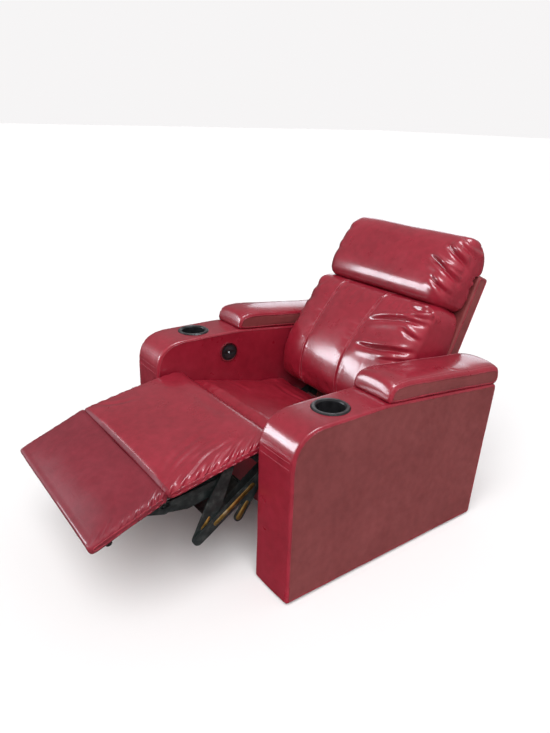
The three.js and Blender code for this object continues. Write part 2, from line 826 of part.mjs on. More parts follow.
function base() {
  const railLow = seatPlateX + plateThickness + seatedGap;
  const rail = solidOf(box(
    railLow, railLow + baseRailWidth, baseRailFrontY, backPivot.y + baseRailPast,
    baseRailBottomZ, baseRailBottomZ + baseRailHeight,
  ));
  addPair(group, 'base_rail', rail, 'steel');
  const reach = armInnerX - seatedGap;
  const places = { front: frontTubeY, rear: rearTubeY };
  for (const [place, y] of Object.entries(places)) {
    const side = crossTubeSize * half;
    const tube = box(
      -reach, reach, y - side, y + side, crossTubeBottomZ, crossTubeBottomZ + crossTubeSize,
    );
    add(group, `${place}_cross_tube`, tube, 'steel');
  }
}

function apron() {
  const halfWidth = seatPlateX - seatedGap;
  const panel = solidOf(box(
    -halfWidth, halfWidth, apronY, apronY + apronThickness, apronBottomZ, apronTopZ,
  ));
  const slot = solidOf(box(
    actuatorX - apronSlotHalfWidth, actuatorX + apronSlotHalfWidth,
    apronY - cutOverrun, apronY + cutOverrun, apronSlotBottomZ, apronTopZ + cutOverrun,
  ));
  return panel.subtract(slot);
}

// Footrest: the chaise panel turns about the fold pivot at the front of the seat

const chaise = new THREE.Group();
chaise.position.set(0, foldPivotY, foldPivotZ);
chaise.rotation.x = chaiseSlope;
group.add(chaise);

// Shares of the pad's whole length from the rear, and of its edge height from the board's underside
const chaisePadShares = [
  [1.0, 0.5], [0.985, 0.95], [0.85, 1.0], [0.6, 1.05], [0.4, 1.05], [0.22, 0.95],
  [0.08, 0.72], [0.01, 0.5], [0.0, 0.2], [0.04, 0.0], [0.5, 0.0], [0.985, 0.0],
];

function wrappedPad(shares, rear, front, under, crown, boardLow, boardHigh) {
  const length = front - rear;
  const outlineAt = (swelling) => shares.map(([along, up]) => {
    const arch = Math.sin(Math.PI * Math.min(1, along + footPadLeadShare)) ** half;
    const rise = up > half ? crown * swelling * arch : 0;
    return at(-(rear + along * length), under + up * padEdgeHeight + rise);
  }).reverse();
  const roll = padEdgeHeight * footPadRollShare;
  const pad = solidOf(cushion(outlineAt, chaiseHalfWidth, roll, plainShares));
  const boardHalf = chaiseHalfWidth - boardInset + boardClearance;
  const pocket = solidOf(box(
    -boardHalf, boardHalf, -(boardHigh + boardClearance), -(boardLow - boardClearance),
    under - cutOverrun, under + boardThickness + boardClearance,
  ));
  return pad.subtract(pocket);
}

function board(low, high, under) {
  const boardHalf = chaiseHalfWidth - boardInset;
  return box(-boardHalf, boardHalf, -high, -low, under, under + boardThickness);
}

const chaisePoint = (forward, up) => at(-forward, up);
const upperPivot = chaisePoint(upperPivotForward, upperPivotUp);
const flapPivot = chaisePoint(flapPivotForward, flapPivotUp);

function chaisePanel() {
  const boardHigh = chaiseLength - boardInset;
  const pad = wrappedPad(
    chaisePadShares, -chaiseRear, chaiseLength, chaiseUnder, chaiseCrown, -boardRear, boardHigh,
  );
  add(chaise, 'chaise_pad', geometryOf(pad), 'leather');
  add(chaise, 'chaise_board', board(-boardRear, boardHigh, chaiseUnder), 'wood');
}

// Hinge strap from the fold pin to the underside of the chaise board
function hingeStrap() {
  const low = lowerLinkX;
  const high = low + strapThickness;
  const under = chaiseUnder - seatedGap;
  const pivot = chaisePoint(0, 0);
  const end = chaisePoint(strapReach, under - foldPinRadius - strapEndRadius * half);
  const flange = box(low - flangeWidth, high, -strapReach - flangeWidth, boardRear - seatedGap,
    under - flangeThickness, under);
  const web = box(low, high, end.y, boardRear - seatedGap, end.z - foldPinRadius, under);
  const head = seatPlateX + plateThickness + headGap;
  return joined([
    bar(pivot, end, strapEyeRadius, strapEndRadius, low, high),
    solidOf(flange),
    solidOf(web),
    ...rivet(pivot, foldPinRadius, pinHeadRadius, low, head),
  ]);
}

// A pin from one plate to a head beyond the plate that it carries
function rivet(centre, radius, headRadius, from, headFrom) {
  const headTo = headFrom + Math.sign(headFrom - from) * pinHeadHeight;
  return [
    disc(centre, radius, Math.min(from, headFrom), Math.max(from, headFrom)),
    disc(centre, headRadius, Math.min(headFrom, headTo), Math.max(headFrom, headTo)),
  ];
}

// Bracket plate under the chaise board. It carries the upper link and the flap.
function chaiseBracket() {
  const low = chaiseBracketX;
  const high = low + plateThickness;
  const under = chaiseUnder - seatedGap;
  const strip = box(low, high, -chaiseLength + boardInset, upperPivot.y + linkEndRadius,
    upperPivotUp - linkEndRadius * half, under);
  const flange = box(low - flangeWidth, high, -chaiseLength + boardInset,
    upperPivot.y + linkEndRadius, under - flangeThickness, under);
  const rearCorner = chaisePoint(bellyForward, bellyUp);
  const frontCorner = chaisePoint(bellyFront, bellyUp);
  return joined([
    bar(upperPivot, flapPivot, linkEndRadius, linkEndRadius, low, high),
    bar(upperPivot, rearCorner, linkEndRadius, bellyRadius, low, high),
    bar(rearCorner, frontCorner, bellyRadius, bellyRadius, low, high),
    bar(frontCorner, flapPivot, bellyRadius, linkEndRadius, low, high),
    solidOf(strip), solidOf(flange),
    ...rivet(upperPivot, linkPinRadius, pinHeadRadius, low, upperLinkX + plateThickness + headGap),
    ...rivet(flapPivot, linkPinRadius, pinHeadRadius, low, flapBracketX + plateThickness + headGap),
  ]);
}

// Places in the chaise panel's frame, given in the floor's frame
function inChaise(point) {
  const y = point.y - foldPivotY;
  const z = point.z - foldPivotZ;
  const cosine = Math.cos(chaiseSlope);
  const sine = Math.sin(chaiseSlope);
  return at(y * cosine + z * sine, z * cosine - y * sine);
}

// A place at a radius and an angle that opens downwards from the panel's forward direction
const around = (centre, radius, angle) =>
  at(centre.y - radius * Math.cos(angle), centre.z - radius * Math.sin(angle));

const crankPivot = around(upperPivot, crankRadius, crankAngle);
const flapCrankPivot = around(flapPivot, flapCrankRadius, flapCrankAngle);

// Upper link: hangs from the chaise bracket to the knee, with a crank that drives the flap
function upperLink() {
  const low = upperLinkX;
  const high = low + plateThickness;
  const knee = inChaise(at(kneeY, kneeZ));
  const lobe = beside(upperPivot, knee, upperLobeShare, upperLobeReach);
  const solid = joined([
    bar(upperPivot, knee, upperLinkHalfWidth, kneeRadius, low, high),
    bar(upperPivot, lobe, upperLinkHalfWidth, upperLobeRadius, low, high),
    bar(lobe, knee, upperLobeRadius, kneeRadius, low, high),
    bar(upperPivot, crankPivot, linkEndRadius, pinHeadRadius, low, high),
    ...rivet(crankPivot, drivePinRadius, drivePinRadius * 2, high, driveLinkX - headGap),
  ]);
  const pierced = [low - cutOverrun, high + cutOverrun];
  return cut(solid, [
    disc(upperPivot, linkPinRadius + pinClearance, ...pierced),
    disc(knee, kneePinRadius + kneeEyeClearance, ...pierced),
  ]);
}

// Drive link: from the upper link's crank to the flap, with a slot for lost motion
function driveLink() {
  const low = driveLinkX;
  const high = low + plateThickness;
  const dy = flapCrankPivot.y - crankPivot.y;
  const dz = flapCrankPivot.z - crankPivot.z;
  const span = Math.hypot(dy, dz);
  const slip = (length) => at(
    flapCrankPivot.y + (dy * length + dz * driveSlotOffset) / span,
    flapCrankPivot.z + (dz * length - dy * driveSlotOffset) / span,
  );
  const inner = slip(-driveSlotInner);
  const outer = slip(driveSlotOuter);
  const slotEnd = driveSlotHalfWidth + driveSlotWall;
  const solid = joined([
    bar(crankPivot, flapCrankPivot, driveLinkHalfWidth, driveLinkHalfWidth, low, high),
    bar(inner, outer, slotEnd, slotEnd, low, high),
  ]);
  const pierced = [low - cutOverrun, high + cutOverrun];
  return cut(solid, [
    disc(crankPivot, drivePinRadius + pinClearance, ...pierced),
    bar(inner, outer, driveSlotHalfWidth, driveSlotHalfWidth, ...pierced),
  ]);
}

// Flap bracket: hangs the extension on the flap pivot, and holds the drive link's pin
function flapBracket() {
  const low = flapBracketX;
  const high = low + plateThickness;
  const pivot = at(0, 0);
  const under = flapUnder - seatedGap;
  const crank = around(pivot, flapCrankRadius, flapCrankAngle - flapSlope);
  const [nearShare, farShare] = flapStripShares;
  const near = -flapLength * nearShare;
  const far = -flapLength * farShare;
  const armEnd = at(-flapLength * flapArmShare, under - pinHeadRadius);
  const strip = box(low, high, far, near, under - pinHeadRadius, under);
  const flange = box(low - flangeWidth, high, far, near, under - flangeThickness, under);
  const pin = disc(crank, drivePinRadius, low, driveLinkX + plateThickness);
  const solid = joined([
    bar(pivot, armEnd, linkEndRadius, pinHeadRadius, low, high),
    bar(pivot, crank, linkEndRadius, pinHeadRadius, low, high),
    solidOf(strip), solidOf(flange), pin,
  ]);
  return solid.subtract(disc(pivot, linkPinRadius + pinClearance, low - cutOverrun, high));
}

const flapPadShares = [
  [1.0, 0.42], [0.985, 0.86], [0.86, 1.0], [0.6, 1.03], [0.35, 1.03], [0.12, 1.0],
  [0.02, 0.86], [0.0, 0.5], [0.0, 0.1], [0.02, 0.0], [0.5, 0.0], [0.985, 0.04],
];

function flap() {
  const holder = new THREE.Group();
  holder.position.set(0, flapPivot.y, flapPivot.z);
  holder.rotation.x = flapSlope;
  chaise.add(holder);
  const boardHigh = flapLength - boardInset;
  const boardLow = flapStart + boardInset;
  const pad = wrappedPad(
    flapPadShares, flapStart, flapLength, flapUnder, flapCrown, boardLow, boardHigh,
  );
  add(holder, 'extension_pad', geometryOf(pad), 'leather');
  add(holder, 'extension_board', board(boardLow, boardHigh, flapUnder), 'wood');
  addPair(holder, 'flap_bracket', flapBracket(), 'steel');
  const bumperX = chaiseHalfWidth - bumperInset;
  const bumper = solidOf(verticalRod(
    bumperRadius, bumperX, -bumperForward, flapUnder - bumperHeight, flapUnder - seatedGap,
  ));
  addPair(holder, 'bumper', bumper, 'rubber');
}

function footrest() {
  chaisePanel();
  flap();
  addPair(chaise, 'hinge_strap', hingeStrap(), 'steel');
  addPair(chaise, 'chaise_bracket', chaiseBracket(), 'steel');
  addPair(chaise, 'upper_link', upperLink(), 'steel');
  addPair(chaise, 'drive_link', driveLink(), 'zinc');
}

// Lower links swing on a torque tube that ties both sides together

function lowerLink() {
  const low = lowerLinkX;
  const high = low + plateThickness;
  const lobe = beside(torquePivot, kneePoint, lowerLobeShare, lowerLobeReach);
  const heel = beside(torquePivot, kneePoint, lowerHeelShare, lowerHeelReach);
  const solid = joined([
    bar(torquePivot, kneePoint, linkHubRadius, kneeRadius, low, high),
    bar(heel, lobe, linkEndRadius, lowerLobeRadius, low, high),
    ...rivet(kneePoint, kneePinRadius, kneeHeadRadius, high, upperLinkX - headGap),
  ]);
  return solid.subtract(
    disc(torquePivot, torqueTubeRadius + pinClearance, low - cutOverrun, high + cutOverrun),
  );
}

// Dished cross panel that swings with the lower links, on two arms from the torque tube
function crossPan() {
  const [rearShare, frontShare] = panShares;
  const place = (share, reach) => beside(torquePivot, kneePoint, share, reach);
  const sheetShare = panSheet / Math.hypot(kneeY - torquePivotY, kneeZ - torquePivotZ);
  const corners = [
    place(rearShare, -panHalfDepth), place(rearShare, panHalfDepth),
    place(frontShare, panHalfDepth), place(frontShare, -panHalfDepth),
    place(frontShare - sheetShare, -panHalfDepth),
    place(frontShare - sheetShare, panHalfDepth - panSheet),
    place(rearShare + sheetShare, panHalfDepth - panSheet),
    place(rearShare + sheetShare, -panHalfDepth),
  ];
  const section = new THREE.Shape(corners.map((corner) => new THREE.Vector2(corner.y, corner.z)));
  const solids = [solidOf(extrudeAcross(section, -panHalfWidth, panHalfWidth))];
  for (const side of [1, -1]) {
    const near = side * panHalfWidth;
    const far = side * (panHalfWidth - plateThickness);
    solids.push(bar(
      torquePivot, place(frontShare, 0), linkHubRadius, panHalfDepth,
      Math.min(near, far), Math.max(near, far),
    ));
  }
  return joined(solids).subtract(disc(
    torquePivot, torqueTubeRadius + pinClearance,
    -panHalfWidth - cutOverrun, panHalfWidth + cutOverrun,
  ));
}

function lowerLinks() {
  addPair(group, 'lower_link', lowerLink(), 'steel');
  add(group, 'cross_pan', geometryOf(crossPan()), 'steel');
  const reach = seatPlateX + plateThickness - seatedGap;
  const tube = rodAcross(torqueTubeRadius, -reach, reach, torquePivotY, torquePivotZ);
  add(group, 'torque_tube', tube, 'steel');
}

// Lever: two cheeks on the torque tube that take the actuator's eye between them
function driveLever() {
  const eye = at(driveEyeY, driveEyeZ);
  const elbow = at(leverElbowY, leverElbowZ);
  const gap = eyeThickness * half + leverGap;
  const cheeks = [];
  for (const side of [1, -1]) {
    const nearX = actuatorX + side * gap;
    const farX = nearX + side * leverThickness;
    const low = Math.min(nearX, farX);
    const high = Math.max(nearX, farX);
    cheeks.push(bar(torquePivot, elbow, leverHubRadius, leverHalfWidth, low, high));
    cheeks.push(bar(elbow, eye, leverHalfWidth, leverEyeRadius, low, high));
  }
  const reach = gap + leverThickness;
  const hub = disc(torquePivot, leverHubRadius, actuatorX - reach, actuatorX + reach);
  const pin = disc(eye, actuatorPinRadius, actuatorX - reach, actuatorX + reach);
  return joined([...cheeks, hub, pin]).subtract(disc(
    torquePivot, torqueTubeRadius + pinClearance,
    actuatorX - reach - cutOverrun, actuatorX + reach + cutOverrun,
  ));
}

// Actuator: motor, gearbox and tube turn about the rear pivot, and the rod slides in the tube

const actuatorAngle = Math.atan2(driveEyeZ - actuatorPivotZ, actuatorPivotY - driveEyeY);
const actuatorSpan = Math.hypot(driveEyeY - actuatorPivotY, driveEyeZ - actuatorPivotZ);
const actuator = new THREE.Group();
actuator.position.set(actuatorX, actuatorPivotY, actuatorPivotZ);
actuator.rotation.x = -actuatorAngle;
group.add(actuator);

// In this frame the rod runs along -Y from the rear pivot
function lengthwiseRod(radius, yLow, yHigh, z = 0) {
  const geometry = new THREE.CylinderGeometry(radius, radius, yHigh - yLow, roundSides);
  return geometry.translate(0, (yLow + yHigh) * half, z);
}

function actuatorHousing() {
  const pivot = at(0, 0);
  const eyeHalf = eyeThickness * half;
  const tube = solidOf(lengthwiseRod(actuatorTubeRadius, -actuatorTubeLength, -eyeRadius));
  const bore = solidOf(lengthwiseRod(
    actuatorRodRadius + rodClearance, -actuatorTubeLength - cutOverrun, -boreBottom,
  ));
  const gearbox = solidOf(box(
    -gearboxWidth * half, gearboxWidth * half, -eyeRadius - gearboxLength, -eyeRadius,
    -gearboxHeight * half, gearboxHeight * half,
  ));
  const lug = solidOf(box(-eyeHalf, eyeHalf, -eyeRadius - eyeHalf, 0, -eyeRadius, eyeRadius));
  const solid = joined([tube, gearbox, lug, disc(pivot, eyeRadius, -eyeHalf, eyeHalf)]);
  return cut(solid, [bore, disc(pivot, actuatorPinRadius + pinClearance, -cutOverrun, cutOverrun)]);
}

function actuatorMotor() {
  const low = -gearboxHeight * half - seatedGap - motorRadius;
  const geometry = lengthwiseRod(motorRadius, -eyeRadius - motorLength, -eyeRadius, low);
  return geometry;
}

function actuatorRod() {
  const eye = at(-actuatorSpan, 0);
  const slotEnd = at(-actuatorSpan + yokeSlotAlong, -yokeSlotDrop);
  const root = at(-actuatorSpan + yokeLength, 0);
  const eyeHalf = eyeThickness * half;
  const around = yokeSlotHalfWidth + yokeWall;
  const solid = joined([
    bar(eye, slotEnd, around, around, -eyeHalf, eyeHalf),
    bar(eye, root, around, actuatorRodRadius, -eyeHalf, eyeHalf),
    bar(slotEnd, root, around, actuatorRodRadius, -eyeHalf, eyeHalf),
    solidOf(lengthwiseRod(actuatorRodRadius, -actuatorSpan + yokeToShaft, -rodInsideLength)),
  ]);
  return solid.subtract(
    bar(eye, slotEnd, yokeSlotHalfWidth, yokeSlotHalfWidth, -cutOverrun, cutOverrun),
  );
}

// Bracket that stands on the rear cross tube and holds the actuator's rear pin
function actuatorBracket() {
  const gap = eyeThickness * half + leverGap;
  const top = at(actuatorPivotY, actuatorPivotZ);
  const foot = at(rearTubeY, crossTubeBottomZ + crossTubeSize + eyeRadius + seatedGap);
  const cheeks = [];
  for (const side of [1, -1]) {
    const nearX = actuatorX + side * gap;
    const farX = nearX + side * leverThickness;
    cheeks.push(bar(foot, top, eyeRadius, eyeRadius, Math.min(nearX, farX), Math.max(nearX, farX)));
  }
  const reach = gap + leverThickness;
  const sole = solidOf(box(
    actuatorX - reach, actuatorX + reach, rearTubeY - crossTubeSize * half,
    rearTubeY + crossTubeSize * half, foot.z - eyeRadius, foot.z - eyeRadius + leverThickness,
  ));
  const pin = disc(top, actuatorPinRadius, actuatorX - reach, actuatorX + reach);
  return joined([...cheeks, sole, pin]);
}

function drive() {
  add(group, 'drive_lever', geometryOf(driveLever()), 'steel');
  add(actuator, 'actuator_housing', geometryOf(actuatorHousing()), 'plastic');
  add(actuator, 'actuator_motor', actuatorMotor(), 'plastic');
  add(actuator, 'actuator_rod', geometryOf(actuatorRod()), 'zinc');
  add(group, 'actuator_bracket', geometryOf(actuatorBracket()), 'steel');
}

// Back: turns about the back pivot at the rear of the seat plates

const back = new THREE.Group();
back.position.set(0, backPivot.y, backPivot.z);
back.rotation.x = backLean;
group.add(back);

const shellFrontY = backRearOffset - shellThickness;

function backShell() {
  const halfWidth = backHalfWidth;
  const radius = shellCornerRadius;
  const shape = new THREE.Shape();
  shape.moveTo(-halfWidth, shellBottom);
  shape.lineTo(halfWidth, shellBottom);
  shape.lineTo(halfWidth, shellTop - radius);
  shape.absarc(halfWidth - radius, shellTop - radius, radius, 0, Math.PI * half, false);
  shape.lineTo(radius - halfWidth, shellTop);
  shape.absarc(radius - halfWidth, shellTop - radius, radius, Math.PI * half, Math.PI, false);
  shape.lineTo(-halfWidth, shellBottom);
  const geometry = new THREE.ExtrudeGeometry(shape, {
    depth: shellThickness - 2 * shellEdgeRound,
    curveSegments,
    bevelSize: shellEdgeRound,
    bevelThickness: shellEdgeRound,
    bevelOffset: -shellEdgeRound,
    bevelSegments,
  });
  geometry.applyMatrix4(alongY);
  return geometry.translate(0, backRearOffset - shellEdgeRound, 0);
}

// Lumbar cushion: shares of its depth in front of the shell, and of its height
const lumbarShares = [
  [0.0, 0.03], [0.4, 0.0], [0.8, 0.0], [0.95, 0.14], [1.0, 0.33], [0.94, 0.52],
  [0.87, 0.69], [0.81, 0.83], [0.74, 0.94], [0.56, 0.99], [0.2, 0.995], [0.0, 0.97],
];

function lumbarCushion() {
  const rear = shellFrontY - seatedGap;
  const outlineAt = (swelling, seam) => lumbarShares.map(([deep, up]) => {
    const crown = lumbarCrown * swelling * (1 - up ** lumbarFadePower);
    const front = deep > half ? crown - seam : 0;
    return at(rear - deep * lumbarDepth - front, lumbarBottom + up * lumbarHeight);
  });
  const offSeam = (share) => Math.abs(Math.abs(share) - seamShare);
  const seamAt = (share) => seamDepth * Math.max(0, 1 - offSeam(share) / seamWidthShare);
  const loop = (swelling, seam) => outlineAt(swelling, seam).reverse();
  return cushion(loop, backHalfWidth, lumbarDepth * lumbarRollShare, acrossShares, seamAt);
}

// Headrest pillow: shares of its reach from the rearmost point, and of its height.
// It sits over the shell's top edge and hangs down in front of the shell.
const hangShare = (shellThickness + seatedGap - headrestRearInset) / headrestReach;
const restShare = (shellTop + seatedGap - headrestBottom) / headrestHeight;
const headrestShares = [
  [hangShare, 0.03], [0.5, 0.0], [0.84, 0.0], [0.97, 0.05], [1.0, 0.14], [0.965, 0.32],
  [0.91, 0.58], [0.82, 0.85], [0.65, 0.98], [0.37, 1.0], [0.15, 0.92], [0.03, 0.79],
  [0.0, 0.66], [0.08, restShare], [hangShare, restShare], [hangShare, 0.3],
];

// Moves points of the pillow's outline that lie inside the shell to the shell's nearest face
function clearOfShell(loop) {
  const front = shellFrontY - seatedGap;
  const top = shellTop + seatedGap;
  return loop.map((point) => {
    if (point.y <= front || point.z >= top) return point;
    return point.y - front < top - point.z ? at(front, point.z) : at(point.y, top);
  });
}

function headrestPillow() {
  const rear = backRearOffset - headrestRearInset;
  const loop = (swelling) => headrestShares.map(([deep, up]) => {
    const front = deep > half ? headrestCrown * swelling : 0;
    return at(rear - deep * headrestReach - front, headrestBottom + up * headrestHeight);
  }).reverse();
  const roll = headrestReach * headrestRollShare;
  return cushion(loop, backHalfWidth, roll, plainShares, () => 0, clearOfShell);
}

// Bracket from the back pivot to the front face of the shell, beside the seat plate
function backBracket() {
  const low = seatPlateX - layerPitch;
  const high = low + bracketThickness;
  const faceY = shellFrontY - seatedGap;
  const pivot = at(0, 0);
  const end = at(faceY - bracketBarRadius, (bracketFlangeLow + bracketFlangeHigh) * half);
  const flange = box(low - flangeWidth, high, faceY - flangeThickness, faceY,
    bracketFlangeLow, bracketFlangeHigh);
  const web = box(low, high, end.y, faceY, bracketFlangeLow, bracketFlangeHigh);
  return joined([
    bar(pivot, end, linkHubRadius, bracketBarRadius, low, high), solidOf(flange), solidOf(web),
    ...rivet(pivot, linkPinRadius, pinHeadRadius, low, seatPlateX + plateThickness + headGap),
  ]);
}

function backRest() {
  add(back, 'back_shell', backShell(), 'leather');
  add(back, 'lumbar_cushion', lumbarCushion(), 'leather');
  add(back, 'headrest_pillow', headrestPillow(), 'leather');
  addPair(back, 'back_bracket', backBracket(), 'steel');
}

arms();
cupHolders();
controlPanel();
add(seat, 'seat_cushion', seatCushion(), 'leather');
add(seat, 'seat_frame', geometryOf(seatFrame()), 'wood');
add(seat, 'seat_springs', geometryOf(seatSprings()), 'steel');
addPair(group, 'seat_plate', seatPlate(), 'steel');
base();
add(group, 'apron', geometryOf(apron()), 'leather');
footrest();
lowerLinks();
drive();
backRest();

export default group;
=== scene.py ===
"""Cinema recliner seat: upholstery, finishes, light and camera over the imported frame."""

import math

import bmesh
import bpy
import numpy as np
from mathutils import Matrix, Vector


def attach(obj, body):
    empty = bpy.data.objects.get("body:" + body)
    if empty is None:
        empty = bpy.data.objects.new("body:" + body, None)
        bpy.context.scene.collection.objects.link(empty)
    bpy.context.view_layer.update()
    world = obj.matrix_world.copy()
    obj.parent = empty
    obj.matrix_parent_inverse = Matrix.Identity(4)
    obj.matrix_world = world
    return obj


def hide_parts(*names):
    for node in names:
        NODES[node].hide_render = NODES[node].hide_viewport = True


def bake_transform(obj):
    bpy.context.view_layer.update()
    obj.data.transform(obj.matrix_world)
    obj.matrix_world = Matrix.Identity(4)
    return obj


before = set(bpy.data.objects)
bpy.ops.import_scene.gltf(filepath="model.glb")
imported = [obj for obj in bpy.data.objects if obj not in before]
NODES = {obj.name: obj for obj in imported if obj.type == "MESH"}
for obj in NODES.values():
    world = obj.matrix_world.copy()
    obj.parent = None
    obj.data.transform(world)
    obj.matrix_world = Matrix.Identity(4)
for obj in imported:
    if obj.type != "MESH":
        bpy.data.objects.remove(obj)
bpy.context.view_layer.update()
MM = 0.001
FAR = 1e9  # farther than any point of the chair, in mm
NOISE_LINE = 512  # values in the repeating line of noise
NOISE_TILE = 128  # and along a side of the repeating tile
SEAM_LINES = (-7, -3.5, -1.6, 0, 1.6, 3.5, 7)  # extra rows of points beside a seam, in mm
CORNER_SHARE = 0.45  # most of a side that the rounding of one corner takes
STITCH_LIFT = 0.1  # of the thread over the leather, in mm
SEAM_STITCHES = 5.5  # from a seam to the row of stitches on either side of it
ARM_FRONT, ARM_SEAM, ARM_TOP, FLOOR_GAP = -230, 428, 520, 6  # of an arm's outline, in mm
SEAT_HALF, FOOT_HALF, BACK_HALF = 286.5, 280.5, 274.5  # half widths of the cushions
ARM_HALF, ARM_PAD_HALF, SHELL_HALF, APRON_HALF = 74, 73, 275, 257
SHELL_FRONT, SHELL_TOP = 81.7, 649.3  # the back shell's front face and top, in BACK


# Repeatable noise

def lattice(seed, shape):
    return np.random.default_rng(seed).random(shape)


def eased(f):
    return f * f * (3 - 2 * f)


def noise1(t, scale, seed):
    values = lattice(seed, NOISE_LINE)
    t = np.asarray(t, float) / scale + 137.0
    i = np.floor(t).astype(int)
    f = eased(t - i)
    return values[i % NOISE_LINE] * (1 - f) + values[(i + 1) % NOISE_LINE] * f


def noise2(x, y, scale, seed):
    values = lattice(seed, (NOISE_TILE, NOISE_TILE))
    x = np.asarray(x, float) / scale + 57.0
    y = np.asarray(y, float) / scale + 91.0
    i = np.floor(x).astype(int)
    j = np.floor(y).astype(int)
    f, g = eased(x - i), eased(y - j)
    i, j, after_i, after_j = (k % NOISE_TILE for k in (i, j, i + 1, j + 1))
    a = values[i, j] * (1 - f) + values[after_i, j] * f
    b = values[i, after_j] * (1 - f) + values[after_i, after_j] * f
    return a * (1 - g) + b * g


def waves(x, y, scale, seed, height):
    """Soft unevenness of a surface, up to half its height in or out."""
    return (noise2(x, y, scale, seed) - 0.5) * height


# Outlines in the YZ plane

def spline_loop(points, counts=None, step=5.0):
    """Closed centripetal Catmull-Rom curve with a set number of points in each stretch."""
    p = np.array(points, float)
    n = len(p)
    out = []
    used = []
    for i in range(n):
        p0, p1, p2, p3 = p[i - 1], p[i], p[(i + 1) % n], p[(i + 2) % n]
        t0 = 0.0
        t1 = t0 + max(1e-6, np.linalg.norm(p1 - p0)) ** 0.5
        t2 = t1 + max(1e-6, np.linalg.norm(p2 - p1)) ** 0.5
        t3 = t2 + max(1e-6, np.linalg.norm(p3 - p2)) ** 0.5
        count = counts[i] if counts else max(2, int(round(np.linalg.norm(p2 - p1) / step)))
        used.append(count)
        for k in range(count):
            t = t1 + (t2 - t1) * k / count
            a1 = (t1 - t) / (t1 - t0) * p0 + (t - t0) / (t1 - t0) * p1
            a2 = (t2 - t) / (t2 - t1) * p1 + (t - t1) / (t2 - t1) * p2
            a3 = (t3 - t) / (t3 - t2) * p2 + (t - t2) / (t3 - t2) * p3
            b1 = (t2 - t) / (t2 - t0) * a1 + (t - t0) / (t2 - t0) * a2
            b2 = (t3 - t) / (t3 - t1) * a2 + (t - t1) / (t3 - t1) * a3
            out.append((t2 - t) / (t2 - t1) * b1 + (t - t1) / (t2 - t1) * b2)
    return np.array(out), used


def fillet_loop(corners, counts=None, step=5.0, turn=7):
    """Closed outline of corners (y, z, radius, bulge of the side that follows)."""
    p = np.array([c[:2] for c in corners], float)
    n = len(p)
    area = sum(p[i][0] * p[(i + 1) % n][1] - p[(i + 1) % n][0] * p[i][1] for i in range(n))
    sign = 1.0 if area > 0 else -1.0
    out = []
    used = []
    for i in range(n):
        a, b, c = p[i - 1], p[i], p[(i + 1) % n]
        back, ahead = np.linalg.norm(a - b), np.linalg.norm(c - b)
        radius, following = corners[i][2], corners[(i + 1) % n][2]
        start = b + (a - b) / back * min(radius, CORNER_SHARE * back)
        end = b + (c - b) / ahead * min(radius, CORNER_SHARE * ahead)
        for k in range(turn):
            t = k / (turn - 1)
            out.append((1 - t) ** 2 * start + 2 * t * (1 - t) * b + t * t * end)
        stop = c + (b - c) / ahead * min(following, CORNER_SHARE * ahead)
        count = counts[i] if counts else max(2, int(round(np.linalg.norm(stop - end) / step)))
        used.append(count)
        d = (c - b) / ahead
        normal = np.array([d[1], -d[0]]) * sign
        for k in range(1, count):
            t = k / count
            out.append(end + (stop - end) * t + normal * corners[i][3] * 4 * t * (1 - t))
    return np.array(out), used


def even(loop, passes=2):
    for _ in range(passes):
        loop = (np.roll(loop, 1, 0) + 2 * loop + np.roll(loop, -1, 0)) / 4
    return loop


# Boxed cushions

